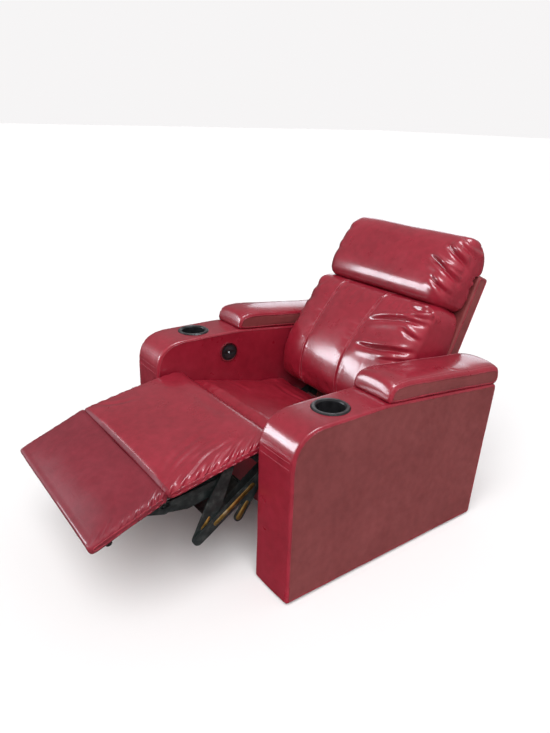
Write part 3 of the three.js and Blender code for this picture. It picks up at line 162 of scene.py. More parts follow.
class Cushion:
    """A closed upholstered form. Outlines lie across X, from the right end to the left end."""

    def __init__(self, low, high, half_width, roll=12.0, step=5.0, swell=3.0,
                 panel_bulge=6.0, extra=(), shape=None, fine=0.0):
        self.count = len(low)
        inner = half_width - roll
        middle = inner - fine
        across = list(np.linspace(-middle, middle, max(3, int(round(2 * middle / step)) + 1)))
        for x in np.arange(inner, middle + 1, -step * 0.55) if fine else ():
            across += [-x, x]
        for line in extra:
            across += [line + offset for offset in SEAM_LINES]
        across = sorted(set(round(float(v), 3) for v in across))
        stations = []
        turns = max(7, int(roll / 3.2))
        angles = np.radians(np.linspace(90, 0, turns))[:-1]
        for t in angles:
            stations.append((-(inner + roll * math.sin(t)), roll * (1 - math.cos(t))))
        stations += [(x, 0.0) for x in across]
        for t in angles[::-1]:
            stations.append((inner + roll * math.sin(t), roll * (1 - math.cos(t))))
        self.stations = stations
        rows = []
        for x, inset in stations:
            share = x / half_width
            k = 1 - abs(share) ** swell
            loop = low + (high - low) * k
            if shape is not None:
                loop = shape(loop)
            rows.append(self._inset(loop, inset, x))
        first, last = rows[0], rows[-1]
        rings = max(4, int(min(np.ptp(first[:, 1]), np.ptp(first[:, 2])) / 2 / (step * 1.6)))
        verts = [np.concatenate(rows)]
        self.rows = len(rows)
        self.caps = []
        base = self.rows * self.count
        faces = []
        for i in range(self.rows - 1):
            for j in range(self.count):
                k = (j + 1) % self.count
                a = i * self.count
                faces.append((a + j, a + k, a + self.count + k, a + self.count + j))
        for side, edge, offset in ((-1, first, 0), (1, last, (self.rows - 1) * self.count)):
            centre = edge.mean(0)
            previous = offset
            start = base
            for m in range(1, rings):
                rho = 1 - m / rings
                ring = centre + (edge - centre) * rho
                ring[:, 0] = edge[:, 0] + side * panel_bulge * (1 - rho ** 2.2)
                verts.append(ring)
                for j in range(self.count):
                    k = (j + 1) % self.count
                    quad = (previous + j, base + j, base + k, previous + k)
                    faces.append(quad if side < 0 else quad[::-1])
                previous = base
                base += self.count
            middle = centre.copy()
            middle[0] = edge[:, 0].mean() + side * panel_bulge
            verts.append(middle[None])
            for j in range(self.count):
                k = (j + 1) % self.count
                tri = (previous + j, base, previous + k)
                faces.append(tri if side < 0 else tri[::-1])
            self.caps.append((start, base + 1))
            base += 1
        self.v = np.concatenate(verts)
        self.faces = faces
        self.cap = np.zeros(len(self.v), int)
        self.cap[self.caps[0][0]:self.caps[0][1]] = -1
        self.cap[self.caps[1][0]:self.caps[1][1]] = 1
        self.j = np.arange(len(self.v)) % self.count
        lengths = np.linalg.norm(np.roll(high, -1, 0) - high, axis=1)
        self.arc = np.concatenate([[0], np.cumsum(lengths)[:-1]])
        self.around = self.arc[self.j % self.count]
        self.orient()
        self.unroll()

    def unroll(self):
        """Gives every point its distance over the surface from the middle, past the rolled ends."""
        x = np.array([station[0] for station in self.stations])
        inset = np.array([station[1] for station in self.stations])
        arc = np.concatenate([[0], np.cumsum(np.hypot(np.diff(x), np.diff(inset)))])
        arc -= arc[-1] / 2
        self.s = np.repeat(arc, self.count)
        self.reach = arc[-1]
        for cap, row, sign in ((0, 0, -1), (1, self.rows - 1, 1)):
            start, end = self.caps[cap]
            ring = self.ring(row)
            j = self.j[start:end]
            inward = np.linalg.norm(self.v[start:end, 1:] - ring[j, 1:], axis=1)
            self.s = np.concatenate([self.s, sign * (self.reach + inward)])

    def _inset(self, loop, inset, x):
        low, high = loop.min(0), loop.max(0)
        middle = (low + high) / 2
        scale = 1 - 2 * inset / (high - low)
        ring = middle + (loop - middle) * scale
        return np.column_stack([np.full(len(ring), x), ring])

    def orient(self):
        if self.volume() < 0:
            self.faces = [f[::-1] for f in self.faces]

    def volume(self):
        v = self.v
        quads = np.array([f for f in self.faces if len(f) == 4])
        tris = np.concatenate([quads[:, [0, 1, 2]], quads[:, [0, 2, 3]]])
        a, b, c = v[tris[:, 0]], v[tris[:, 1]], v[tris[:, 2]]
        return np.einsum("ij,ij->i", a, np.cross(b, c)).sum()

    def normals(self):
        v = self.v
        n = np.zeros_like(v)
        quads = np.array([f for f in self.faces if len(f) == 4])
        cross = np.cross(v[quads[:, 2]] - v[quads[:, 0]], v[quads[:, 3]] - v[quads[:, 1]])
        for k in range(4):
            np.add.at(n, quads[:, k], cross)
        length = np.linalg.norm(n, axis=1)
        length[length == 0] = 1
        return n / length[:, None]

    def push(self, amount):
        """Moves every point along the surface normal by an amount in mm."""
        self.v = self.v + self.normals() * amount[:, None]

    def ring(self, row):
        return self.v[row * self.count:(row + 1) * self.count]

    def row_at(self, x):
        return int(np.argmin([abs(s[0] - x) for s in self.stations]))


def gathers(t, d, pitch, depth, reach, seed, lean=0.0):
    """Puckers that start at a seam: t runs along the seam, d away from it, in mm."""
    d = np.maximum(d, 0)
    wander = (noise1(t, pitch * 2.7, seed) - 0.5) * pitch * 1.8
    wander = wander + (noise2(t, d, pitch * 2.4, seed + 1) - 0.5) * pitch * 1.1
    phase = (t + wander + lean * d) / pitch
    fold = np.abs(np.sin(np.pi * phase)) ** 0.75
    length = reach * (0.35 + 1.1 * noise1(t + lean * d, pitch * 1.3, seed + 2))
    strength = 0.35 + 1.1 * noise1(t + lean * d, pitch * 3.1, seed + 3)
    return depth * strength * (fold - 0.62) * np.exp(-(d / length) ** 2)


def pleats(t, d, places, slant, reach, width, height, seed, bend=0.0):
    """Separate narrow ridges that run from a seam: each has its own slant, length and height."""
    rng = np.random.default_rng(seed)
    total = np.zeros(len(t))
    d = np.maximum(d, 0)
    for place in places:
        lean = slant * rng.uniform(0.75, 1.25)
        length = reach * rng.uniform(0.6, 1.35)
        wide = width * rng.uniform(0.8, 1.3)
        tall = height * rng.uniform(0.55, 1.2)
        curve = bend * rng.uniform(0.6, 1.3)
        u = (t - (place - lean * d - curve * d * d / length)) / math.hypot(1, lean)
        shape = np.exp(-(u / wide) ** 2)
        shape = shape - 0.55 * np.exp(-((u - 2.0 * wide) / (1.2 * wide)) ** 2)
        shape = shape - 0.4 * np.exp(-((u + 2.0 * wide) / (1.3 * wide)) ** 2)
        start = np.clip(0.45 + d / 12, 0, 1)
        fade = np.clip(1 - d / length, 0, 1) ** 0.8
        total += tall * shape * start * fade
    return total


def spaced(low, high, pitch, seed):
    rng = np.random.default_rng(seed)
    places = []
    at = low
    while at < high:
        places.append(at)
        at += pitch * rng.uniform(0.65, 1.4)
    return places


def nearest(x, y, points):
    """Distance from a path, the same with the sign of its side, and the share of its length."""
    p = np.array(points, float)
    best = np.full(len(x), FAR)
    signed = np.zeros(len(x))
    along = np.zeros(len(x))
    total = np.linalg.norm(np.diff(p, axis=0), axis=1).sum()
    passed = 0.0
    for a, b in zip(p[:-1], p[1:]):
        d = b - a
        length = np.linalg.norm(d)
        t = np.clip(((x - a[0]) * d[0] + (y - a[1]) * d[1]) / length ** 2, 0, 1)
        gap = np.hypot(x - a[0] - t * d[0], y - a[1] - t * d[1])
        turn = np.sign(d[0] * (y - a[1]) - d[1] * (x - a[0]))
        closer = gap < best
        best = np.where(closer, gap, best)
        signed = np.where(closer, gap * turn, signed)
        along = np.where(closer, (passed + t * length) / total, along)
        passed += length
    return best, signed, along


def tapered(along, power):
    return np.clip(np.sin(np.pi * np.clip(along, 0.02, 0.98)), 0, 1) ** power


def furrow(x, y, points, width, depth, shoulder=0.45):
    """A long crease along a path of points, with soft shoulders beside it."""
    best, _, along = nearest(x, y, points)
    valley = -np.exp(-(best / width) ** 2)
    ridge = shoulder * np.exp(-((best - 2.1 * width) / (1.2 * width)) ** 2)
    return depth * tapered(along, 0.6) * (valley + ridge)


def fold(x, y, points, width, depth):
    """A pinched fold: a narrow slit with a rounded ridge on the side to the left of its path."""
    best, signed, along = nearest(x, y, points)
    beyond = np.where((along <= 0) | (along >= 1), np.exp(-(best / (2 * width)) ** 2), 1)
    slit = -np.exp(-(signed / width) ** 2)
    ridge = 0.75 * np.exp(-((signed - 2.1 * width) / (1.3 * width)) ** 2)
    swell = 0.3 * np.exp(-((signed + 2.6 * width) / (2.0 * width)) ** 2)
    return depth * tapered(along, 0.7) * beyond * (slit + ridge + swell)


def curved(points, bends=12):
    """A smooth open path through a few points."""
    p = np.array(points, float)
    p = np.concatenate([[2 * p[0] - p[1]], p, [2 * p[-1] - p[-2]]])
    out = []
    for i in range(1, len(p) - 2):
        for k in range(bends):
            t = k / bends
            out.append(0.5 * (2 * p[i] + (p[i + 1] - p[i - 1]) * t
                              + (2 * p[i - 1] - 5 * p[i] + 4 * p[i + 1] - p[i + 2]) * t ** 2
                              + (3 * p[i] - p[i - 1] - 3 * p[i + 1] + p[i + 2]) * t ** 3))
    out.append(p[-2])
    return np.array(out)


def creased(amount, weight, form, x, y, creases):
    """Adds folds or furrows, each a path with its width and depth, where the weight lets them."""
    for path, width, depth in creases:
        amount = amount + weight * form(x, y, curved(path), width, depth)
    return amount


def from_break(order):
    """Turns a closed list of outline points so that it starts behind its gap."""
    breaks = np.where(np.diff(order) > 1)[0]
    return np.roll(order, -(breaks[0] + 1)) if len(breaks) else order


def stitched_valley(d, depth=1.6, width=2.2):
    """Profile across a flat seam that is topstitched on both sides."""
    d = np.abs(d)
    return -depth * np.exp(-(d / width) ** 2) + 0.35 * depth * np.exp(-((d - 6) / 3.2) ** 2)


# Blender objects

def placed(points, place):
    m = np.array(place)
    return (points @ m[:3, :3].T + m[:3, 3]) * MM


def mesh_object(name, verts, faces, materials, picks=None):
    mesh = bpy.data.meshes.new(name)
    mesh.from_pydata([tuple(v) for v in verts], [], [tuple(int(i) for i in f) for f in faces])
    for material in materials:
        mesh.materials.append(material)
    if picks is not None:
        mesh.polygons.foreach_set("material_index", np.array(picks, np.int32))
    mesh.polygons.foreach_set("use_smooth", np.ones(len(mesh.polygons), bool))
    mesh.update()
    obj = bpy.data.objects.new(name, mesh)
    bpy.context.scene.collection.objects.link(obj)
    return obj


def tube_mesh(path, radius, sides=8, closed=True):
    path = np.asarray(path, float)
    n = len(path)
    if closed:
        tangent = np.roll(path, -1, 0) - np.roll(path, 1, 0)
    else:
        tangent = np.gradient(path, axis=0)
    tangent /= np.maximum(np.linalg.norm(tangent, axis=1), 1e-9)[:, None]
    side = np.cross(tangent, np.array([1.0, 0.0, 0.0]))
    weak = np.linalg.norm(side, axis=1) < 0.2
    side[weak] = np.cross(tangent[weak], np.array([0.0, 0.0, 1.0]))
    side /= np.maximum(np.linalg.norm(side, axis=1), 1e-9)[:, None]
    other = np.cross(tangent, side)
    verts = []
    for k in range(sides):
        a = 2 * math.pi * k / sides
        verts.append(path + radius * (math.cos(a) * side + math.sin(a) * other))
    verts = np.stack(verts, 1).reshape(-1, 3)
    faces = []
    last = n if closed else n - 1
    for i in range(last):
        for k in range(sides):
            a = i * sides + k
            b = i * sides + (k + 1) % sides
            c = ((i + 1) % n) * sides + (k + 1) % sides
            d = ((i + 1) % n) * sides + k
            faces.append((a, d, c, b))
    if not closed:
        faces.append(tuple(range(sides)))
        faces.append(tuple((n - 1) * sides + k for k in range(sides))[::-1])
    return verts, faces


def resampled(path, pitch, closed):
    path = np.asarray(path, float)
    if closed:
        path = np.concatenate([path, path[:1]])
    gaps = np.linalg.norm(np.diff(path, axis=0), axis=1)
    arc = np.concatenate([[0], np.cumsum(gaps)])
    count = max(2, int(arc[-1] / pitch))
    at = np.linspace(0, arc[-1], count, endpoint=not closed)
    return np.column_stack([np.interp(at, arc, path[:, k]) for k in range(3)])


def stitches_mesh(path, up, pitch=5.0, length=3.6, thick=0.55, closed=False):
    """A row of thread stitches: short rounded bars along a path, in mm."""
    where = resampled(path, pitch, closed)
    source = np.asarray(path, float)
    verts = []
    faces = []
    profile = [(-0.5, 0.25), (-0.32, 0.9), (0.0, 1.0), (0.32, 0.9), (0.5, 0.25)]
    for i in range(len(where) - 1):
        centre = (where[i] + where[i + 1]) / 2
        along = where[i + 1] - where[i]
        size = np.linalg.norm(along)
        if size < 1e-6:
            continue
        along /= size
        near = int(np.argmin(((source - centre) ** 2).sum(1)))
        out = up[near] - along * float(up[near] @ along)
        out /= max(1e-9, np.linalg.norm(out))
        side = np.cross(along, out)
        start = len(verts)
        for share, girth in profile:
            for k in range(6):
                a = math.pi * k / 3
                verts.append(centre + along * share * length
                             + (side * math.cos(a) + out * math.sin(a)) * thick * girth
                             + out * thick * 0.35)
        for r in range(len(profile) - 1):
            for k in range(6):
                a = start + r * 6 + k
                b = start + r * 6 + (k + 1) % 6
                faces.append((a, b, b + 6, a + 6))
        faces.append(tuple(start + k for k in range(6))[::-1])
        faces.append(tuple(start + (len(profile) - 1) * 6 + k for k in range(6)))
    return np.array(verts), faces


def interpolated(values, where, wanted, axis):
    """Linear interpolation of an array along one axis, from places where to places wanted."""
    values = np.moveaxis(values, axis, 0)
    k = np.clip(np.searchsorted(where, wanted, side="right") - 1, 0, len(where) - 2)
    share = (wanted - where[k]) / (where[k + 1] - where[k])
    share = share.reshape(-1, *([1] * (values.ndim - 1)))
    return np.moveaxis(values[k] * (1 - share) + values[k + 1] * share, 0, axis)


def filled(pad, held, pressure=4.0, growth=0.02, most=14.0, frames=18):
    """Cloth simulation: the cover is a little larger than the form and fills like a pillow.

    A coarser copy of the cover is simulated, and the cushion takes over how its points move.
    held says which points stay where they are: seams, and what lies on the frame.
    """
    rows = np.unique(np.linspace(0, pad.rows - 1, max(24, pad.rows // 2)).round().astype(int))
    cols = np.unique(np.linspace(0, pad.count - 1, max(40, pad.count // 2)).round().astype(int))
    grid = pad.v[:pad.rows * pad.count].reshape(pad.rows, pad.count, 3)
    coarse = grid[np.ix_(rows, cols)]
    wide, tall = len(rows), len(cols)
    points = coarse.reshape(-1, 3)
    faces = []
    for i in range(wide - 1):
        for j in range(tall):
            k = (j + 1) % tall
            faces.append((i * tall + j, i * tall + k, (i + 1) * tall + k, (i + 1) * tall + j))
    faces.append(tuple(range(tall))[::-1])
    faces.append(tuple((wide - 1) * tall + j for j in range(tall)))
    signed = np.einsum("ij,ij->i", points[[f[0] for f in faces[:-2]]], np.cross(
        points[[f[1] for f in faces[:-2]]], points[[f[2] for f in faces[:-2]]])).sum()
    if signed < 0:
        faces = [f[::-1] for f in faces]
    mesh = bpy.data.meshes.new("cover")
    mesh.from_pydata([tuple(v) for v in points * MM], [], faces)
    mesh.update()
    cover = bpy.data.objects.new("cover", mesh)
    bpy.context.scene.collection.objects.link(cover)
    stay = held.reshape(pad.rows, pad.count)[np.ix_(rows, cols)].copy()
    stay[0] = stay[-1] = True
    group = cover.vertex_groups.new(name="held")
    group.add([int(k) for k in np.where(stay.ravel())[0]], 1.0, "REPLACE")
    cloth = cover.modifiers.new("cloth", "CLOTH")
    settings = cloth.settings
    settings.quality = 4
    settings.mass = 0.25
    settings.tension_stiffness = settings.compression_stiffness = 12
    settings.shear_stiffness = 6
    settings.bending_stiffness = 0.4
    settings.vertex_group_mass = "held"
    settings.use_pressure = True
    settings.uniform_pressure_force = pressure
    settings.shrink_min = -growth
    settings.effector_weights.gravity = 0
    scene = bpy.context.scene
    for frame_number in range(1, frames + 1):
        scene.frame_set(frame_number)
    after = cover.evaluated_get(bpy.context.evaluated_depsgraph_get()).to_mesh()
    moved = np.empty(len(points) * 3)
    after.vertices.foreach_get("co", moved)
    moved = moved.reshape(-1, 3) / MM - points
    size = np.linalg.norm(moved, axis=1)
    moved *= (np.minimum(size, most) / np.maximum(size, 1e-9))[:, None]
    moved = moved.reshape(wide, tall, 3)
    moved = np.concatenate([moved, moved[:, :1]], axis=1)
    moved = interpolated(moved, np.append(cols, pad.count), np.arange(pad.count), 1)
    moved = interpolated(moved, rows, np.arange(pad.rows), 0)
    pad.v[:pad.rows * pad.count] += moved.reshape(-1, 3)
    scene.frame_set(1)
    bpy.data.objects.remove(cover)


class Parts:
    """Collects the trim of one piece so that it becomes one object."""

    def __init__(self):
        self.verts = []
        self.faces = []
        self.count = 0

    def take(self, verts, faces):
        if len(verts) == 0:
            return
        self.verts.append(np.asarray(verts, float))
        self.faces += [tuple(i + self.count for i in f) for f in faces]
        self.count += len(verts)

    def make(self, name, place, material):
        return mesh_object(name, placed(np.concatenate(self.verts), place), self.faces, [material])


# Materials

def shader(name, color, roughness, metallic=0.0):
    material = bpy.data.materials.new(name)
    material.use_nodes = True
    tree = material.node_tree
    bsdf = tree.nodes["Principled BSDF"]
    bsdf.inputs["Base Color"].default_value = (*color, 1)
    bsdf.inputs["Roughness"].default_value = roughness
    bsdf.inputs["Metallic"].default_value = metallic
    return material, tree, bsdf


def texture_space(tree):
    return tree.nodes.new("ShaderNodeTexCoord").outputs["Object"]


def noise_node(tree, space, scale, detail=4.0, rough=0.55):
    node = tree.nodes.new("ShaderNodeTexNoise")
    node.inputs["Scale"].default_value = scale
    node.inputs["Detail"].default_value = detail
    node.inputs["Roughness"].default_value = rough
    tree.links.new(space, node.inputs["Vector"])
    return node.outputs["Fac"]


def voronoi_node(tree, space, scale, feature="DISTANCE_TO_EDGE"):
    node = tree.nodes.new("ShaderNodeTexVoronoi")
    node.feature = feature
    node.inputs["Scale"].default_value = scale
    tree.links.new(space, node.inputs["Vector"])
    return node.outputs["Distance"]


def ramp_node(tree, value, stops):
    node = tree.nodes.new("ShaderNodeValToRGB")
    ramp = node.color_ramp
    while len(ramp.elements) < len(stops):
        ramp.elements.new(0.5)
    for element, (place, color) in zip(ramp.elements, stops):
        element.position = place
        element.color = (*color, 1) if len(color) == 3 else color
    tree.links.new(value, node.inputs["Fac"])
    return node.outputs["Color"]


def range_node(tree, value, low, high, out_low, out_high):
    node = tree.nodes.new("ShaderNodeMapRange")
    node.inputs["From Min"].default_value = low
    node.inputs["From Max"].default_value = high
    node.inputs["To Min"].default_value = out_low
    node.inputs["To Max"].default_value = out_high
    tree.links.new(value, node.inputs["Value"])
    return node.outputs["Result"]


def bump_node(tree, height, strength, distance, before=None):
    node = tree.nodes.new("ShaderNodeBump")
    node.inputs["Strength"].default_value = strength
    node.inputs["Distance"].default_value = distance
    tree.links.new(height, node.inputs["Height"])
    if before is not None:
        tree.links.new(before, node.inputs["Normal"])
    return node.outputs["Normal"]


def roughened(tree, bsdf, space, scale, low, high):
    """Lets noise move the roughness between two values."""
    rough = range_node(tree, noise_node(tree, space, scale), 0.3, 0.7, low, high)
    tree.links.new(rough, bsdf.inputs["Roughness"])


def leather(name, deep, mid, pale, rough_low, rough_high, grain=0.5, coat=0.25, crease=0.5):
    material, tree, bsdf = shader(name, mid, (rough_low + rough_high) / 2)
    space = texture_space(tree)
    broad = noise_node(tree, space, 5.5, 3.0)
    mottled = noise_node(tree, space, 46.0, 4.0)
    mix = tree.nodes.new("ShaderNodeMath")
    mix.operation = "ADD"
    half = tree.nodes.new("ShaderNodeMath")
    half.operation = "MULTIPLY"
    half.inputs[1].default_value = 0.5
    tree.links.new(broad, mix.inputs[0])
    tree.links.new(mottled, mix.inputs[1])
    tree.links.new(mix.outputs[0], half.inputs[0])
    color = ramp_node(tree, half.outputs[0], [(0.36, deep), (0.5, mid), (0.66, pale)])
    tree.links.new(color, bsdf.inputs["Base Color"])
    roughened(tree, bsdf, space, 17.0, rough_low, rough_high)
    bsdf.inputs["Specular IOR Level"].default_value = 0.4
    bsdf.inputs["Coat Weight"].default_value = coat
    bsdf.inputs["Coat Roughness"].default_value = 0.14
    pores = voronoi_node(tree, space, 620.0)
    cells = range_node(tree, pores, 0.0, 0.32, 0.0, 1.0)
    normal = bump_node(tree, cells, 0.22 * grain, 0.0006)
    soft = noise_node(tree, space, 38.0, 5.0, 0.6)
    normal = bump_node(tree, soft, 0.09 * crease, 0.003, normal)
    dent = noise_node(tree, space, 11.0, 2.0)
    normal = bump_node(tree, dent, 0.1 * crease, 0.008, normal)
    tree.links.new(normal, bsdf.inputs["Normal"])
    return material


def painted(name, deep, pale, rough_low, rough_high, metallic, wear, wear_color):
    material, tree, bsdf = shader(name, pale, rough_low, metallic)
    space = texture_space(tree)
    color = ramp_node(tree, noise_node(tree, space, 42.0, 6.0, 0.65),
                      [(0.3, deep), (0.52, pale), (0.66 + 0.2 * (1 - wear), wear_color)])
    tree.links.new(color, bsdf.inputs["Base Color"])
    roughened(tree, bsdf, space, 90.0, rough_low, rough_high)
    normal = bump_node(tree, noise_node(tree, space, 420.0, 3.0), 0.12, 0.0004)
    tree.links.new(normal, bsdf.inputs["Normal"])
    return material


def wooden(name):
    material, tree, bsdf = shader(name, (0.45, 0.3, 0.16), 0.7)
    space = texture_space(tree)
    mapping = tree.nodes.new("ShaderNodeMapping")
    mapping.inputs["Scale"].default_value = (1.0, 12.0, 12.0)
    tree.links.new(space, mapping.inputs["Vector"])
    fibres = noise_node(tree, mapping.outputs["Vector"], 9.0, 6.0, 0.7)
    color = ramp_node(tree, fibres, [(0.35, (0.27, 0.16, 0.075)), (0.5, (0.46, 0.31, 0.17)),
                                     (0.68, (0.6, 0.44, 0.27))])
    tree.links.new(color, bsdf.inputs["Base Color"])
    tree.links.new(bump_node(tree, fibres, 0.3, 0.001), bsdf.inputs["Normal"])
    return material


def moulded(name, deep, pale, rough_low, rough_high, grain=0.2):
    material, tree, bsdf = shader(name, pale, rough_low)
    space = texture_space(tree)
    color = ramp_node(tree, noise_node(tree, space, 60.0), [(0.35, deep), (0.65, pale)])
    tree.links.new(color, bsdf.inputs["Base Color"])
    roughened(tree, bsdf, space, 35.0, rough_low, rough_high)
    pebble = voronoi_node(tree, space, 900.0, "F1")
    tree.links.new(bump_node(tree, pebble, grain, 0.0003), bsdf.inputs["Normal"])
    return material


LEATHER = leather("leather_red", (0.225, 0.008, 0.02), (0.265, 0.0112, 0.0255),
                  (0.31, 0.015, 0.033), 0.26, 0.38, coat=0.6)
SEAT_LEATHER = leather("leather_seat", (0.21, 0.007, 0.017), (0.25, 0.0095, 0.022),
                       (0.29, 0.013, 0.029), 0.32, 0.44, coat=0.35)
# the footrest extension's leather: the same red leather with a thinner coat, and darker as painted
# shade
SHADED_FOOT_LEATHER = leather("leather_foot", (0.16, 0.008, 0.018), (0.19, 0.011, 0.023),
                       (0.22, 0.015, 0.029), 0.34, 0.46, coat=0.35)
# leather for the edges at the groove and the extension's tip: darker as painted shade, and rougher
# with no coat so that it takes no highlight
GROOVE_PAINTED_SHADE_LEATHER = leather("leather_groove", (0.15, 0.008, 0.017), (0.18, 0.011, 0.022),
                         (0.21, 0.015, 0.028), 0.55, 0.66, coat=0.0)
SIDE_LEATHER = leather("leather_side", (0.165, 0.03, 0.031), (0.19, 0.037, 0.038),
                       (0.215, 0.045, 0.046), 0.46, 0.58, grain=0.9, coat=0.0, crease=0.16)
PIPING = leather("leather_piping", (0.2, 0.014, 0.025), (0.26, 0.02, 0.034), (0.33, 0.032, 0.05),
                 0.25, 0.36, grain=0.4, coat=0.4, crease=0.2)
# the seams' thread: a red thread made paler than the leather, so that its pale lines are partly the
# thread's own colour and partly painted highlight along the seam ridges
THREAD_WITH_PAINTED_HIGHLIGHT = moulded("thread_red", (0.34, 0.075, 0.1), (0.5, 0.15, 0.18), 0.4, 0.55)
STEEL = painted("painted_steel", (0.008, 0.011, 0.011), (0.02, 0.026, 0.026), 0.36, 0.55, 0.2,
                0.12, (0.09, 0.095, 0.09))
DARK_STEEL = painted("dark_steel", (0.01, 0.012, 0.012), (0.024, 0.028, 0.028), 0.38, 0.56, 0.3,
                     0.1, (0.07, 0.07, 0.07))
ZINC = painted("zinc_yellow", (0.24, 0.12, 0.025), (0.46, 0.27, 0.075), 0.28, 0.45, 0.85,
               0.6, (0.6, 0.48, 0.3))
BARE_STEEL = painted("bare_steel", (0.22, 0.22, 0.22), (0.45, 0.45, 0.44), 0.25, 0.42, 0.9,
                     0.5, (0.6, 0.6, 0.6))
WOOD = wooden("board_wood")
BLACK = moulded("black_plastic", (0.008, 0.008, 0.009), (0.017, 0.017, 0.019), 0.24, 0.4)
BUTTON = moulded("button_plastic", (0.012, 0.012, 0.014), (0.026, 0.026, 0.03), 0.3, 0.42)
RUBBER = moulded("foot_rubber", (0.008, 0.008, 0.008), (0.018, 0.018, 0.018), 0.65, 0.85, 0.5)
RING = painted("ring_grey", (0.035, 0.037, 0.04), (0.075, 0.076, 0.08), 0.26, 0.4, 0.4, 0.3,
               (0.14, 0.14, 0.14))
CHROME = painted("rim_chrome", (0.42, 0.41, 0.42), (0.62, 0.61, 0.62), 0.12, 0.22, 1.0, 0.3,
                 (0.7, 0.7, 0.7))
LENS = moulded("lamp_lens", (0.5, 0.62, 0.7), (0.75, 0.85, 0.9), 0.1, 0.2, 0.02)


# Frames of the moving groups

def frame_at(x, y, z, degrees):
    return Matrix.Translation((x, y, z)) @ Matrix.Rotation(math.radians(degrees), 4, "X")


SEAT = frame_at(0, -138, 383, -13)
CHAISE = frame_at(0, -175, 374, 10.4)
FLAP = CHAISE @ frame_at(0, -312, -27.7, 10.1)
BACK = frame_at(0, 318, 205, -22.8)
ARM_X = 368.0
# places on the links, as (y, z) in the chair's frame
KNEE, HIP, TOP = (-390, 168), (-162, 319), (-290, 330)
LOBE, HEEL = (-264, 194), (-196, 291)


def upholstered(name, cushion, place, materials, body, node, picks=None):
    obj = mesh_object(name, placed(cushion.v, place), cushion.faces, materials, picks)
    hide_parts(node)
    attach(obj, body)
    return obj


def trim(name, parts, place, material, body):
    obj = parts.make(name, place, material)
    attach(obj, body)
    return obj


def welt(parts, points, radius, pitch=4.0, closed=True):
    path = resampled(points, pitch, closed)
    verts, faces = tube_mesh(path, radius, 8, closed)
    parts.take(verts, faces)


def end_welts(name, cushion, radius, pitch, place, body):
    """A closed welt around each end of a cushion."""
    seam = Parts()
    for row in (0, cushion.rows - 1):
        welt(seam, cushion.ring(row), radius, pitch)
    trim(name, seam, place, PIPING, body)


def stitch(parts, cushion, ids):
    """Stitches along a line of the cushion's points."""
    normals = cushion.normals()
    verts, faces = stitches_mesh(cushion.v[ids] + normals[ids] * STITCH_LIFT, normals[ids])
    parts.take(verts, faces)


def carve(obj, tool, name):
    """Cuts the form of a tool out of an object, and removes the tool."""
    modifier = obj.modifiers.new(name, "BOOLEAN")
    modifier.object = tool
    modifier.operation = "DIFFERENCE"
    modifier.solver = "EXACT"
    bpy.context.view_layer.update()
    with bpy.context.temp_override(object=obj, active_object=obj):
        bpy.ops.object.modifier_apply(modifier=modifier.name)
    bpy.data.objects.remove(tool)


# Arms

def arm_cushion(side):
    rear, slope = 578, 95  # the top slopes down to the rear behind y = 95
    top_rear = ARM_TOP - (rear - slope) * math.tan(math.radians(6))
    corners = [
        (543, FLOOR_GAP, 6, 0), (rear, top_rear, 16, 0), (slope, ARM_TOP, 40, 0),
        (ARM_FRONT, ARM_TOP, 104, 0), (ARM_FRONT, FLOOR_GAP, 6, 0),
    ]
    loop, _ = fillet_loop(corners, None, 6.0, turn=19)
    loop = even(loop, 3)
    arm = Cushion(loop, loop, ARM_HALF, roll=7, step=5.0, swell=30, panel_bulge=-0.5)
    y, z = arm.v[:, 1].copy(), arm.v[:, 2].copy()
    on_strip = arm.cap == 0
    edge = ARM_HALF - np.abs(arm.v[:, 0])
    amount = np.zeros(len(arm.v))
    # padding under the strip makes it a little full between its seams
    amount += np.where(on_strip, 1.6 * np.clip(edge / 60, 0, 1) ** 0.6, 0)
    # the front roll is gathered where the strip turns over the corner
    turning = np.exp(-((y + 190) / 70) ** 2) * np.exp(-((z - 480) / 60) ** 2)
    puckers = gathers(arm.around, edge, 13, 1.6, 16, 11 + side)
    amount += np.where(on_strip & (edge > 1), puckers * (0.22 + 1.2 * turning), 0)
    # a seam with stitches on both sides of it crosses the strip on the front
    cross = z - ARM_SEAM
    front = on_strip & (y < -150)
    amount += np.where(front, stitched_valley(cross, 1.9, 2.6), 0)
    amount += np.where(front, gathers(arm.v[:, 0] + 80, np.abs(cross), 17, 1.0, 14, 31 + side), 0)
    # the side panels are stretched flat and wave a little
    broad = waves(y, z, 170, 41 + side, 1.6) + waves(y, z, 60, 43 + side, 0.5)
    amount += np.where(arm.cap != 0, broad, 0)
    near_seam = np.where(arm.cap != 0, 1, 0)
    amount += near_seam * 0.25 * (noise2(y, z, 22, 47 + side) - 0.5)
    amount += np.where(on_strip, waves(arm.v[:, 0], arm.around, 90, 51 + side, 1.4), 0)
    arm.push(amount)
    arm.v[:, 2] = np.maximum(arm.v[:, 2], FLOOR_GAP)
    return arm


def round_cut(obj, radius, centre, direction, depth):
    """Cuts a round hole into an object."""
    bpy.ops.mesh.primitive_cylinder_add(vertices=64, radius=radius, depth=depth, location=centre)
    tool = bpy.context.object
    tool.rotation_mode = "QUATERNION"
    tool.rotation_quaternion = Vector((0, 0, 1)).rotation_difference(Vector(direction))
    carve(obj, tool, "hole")


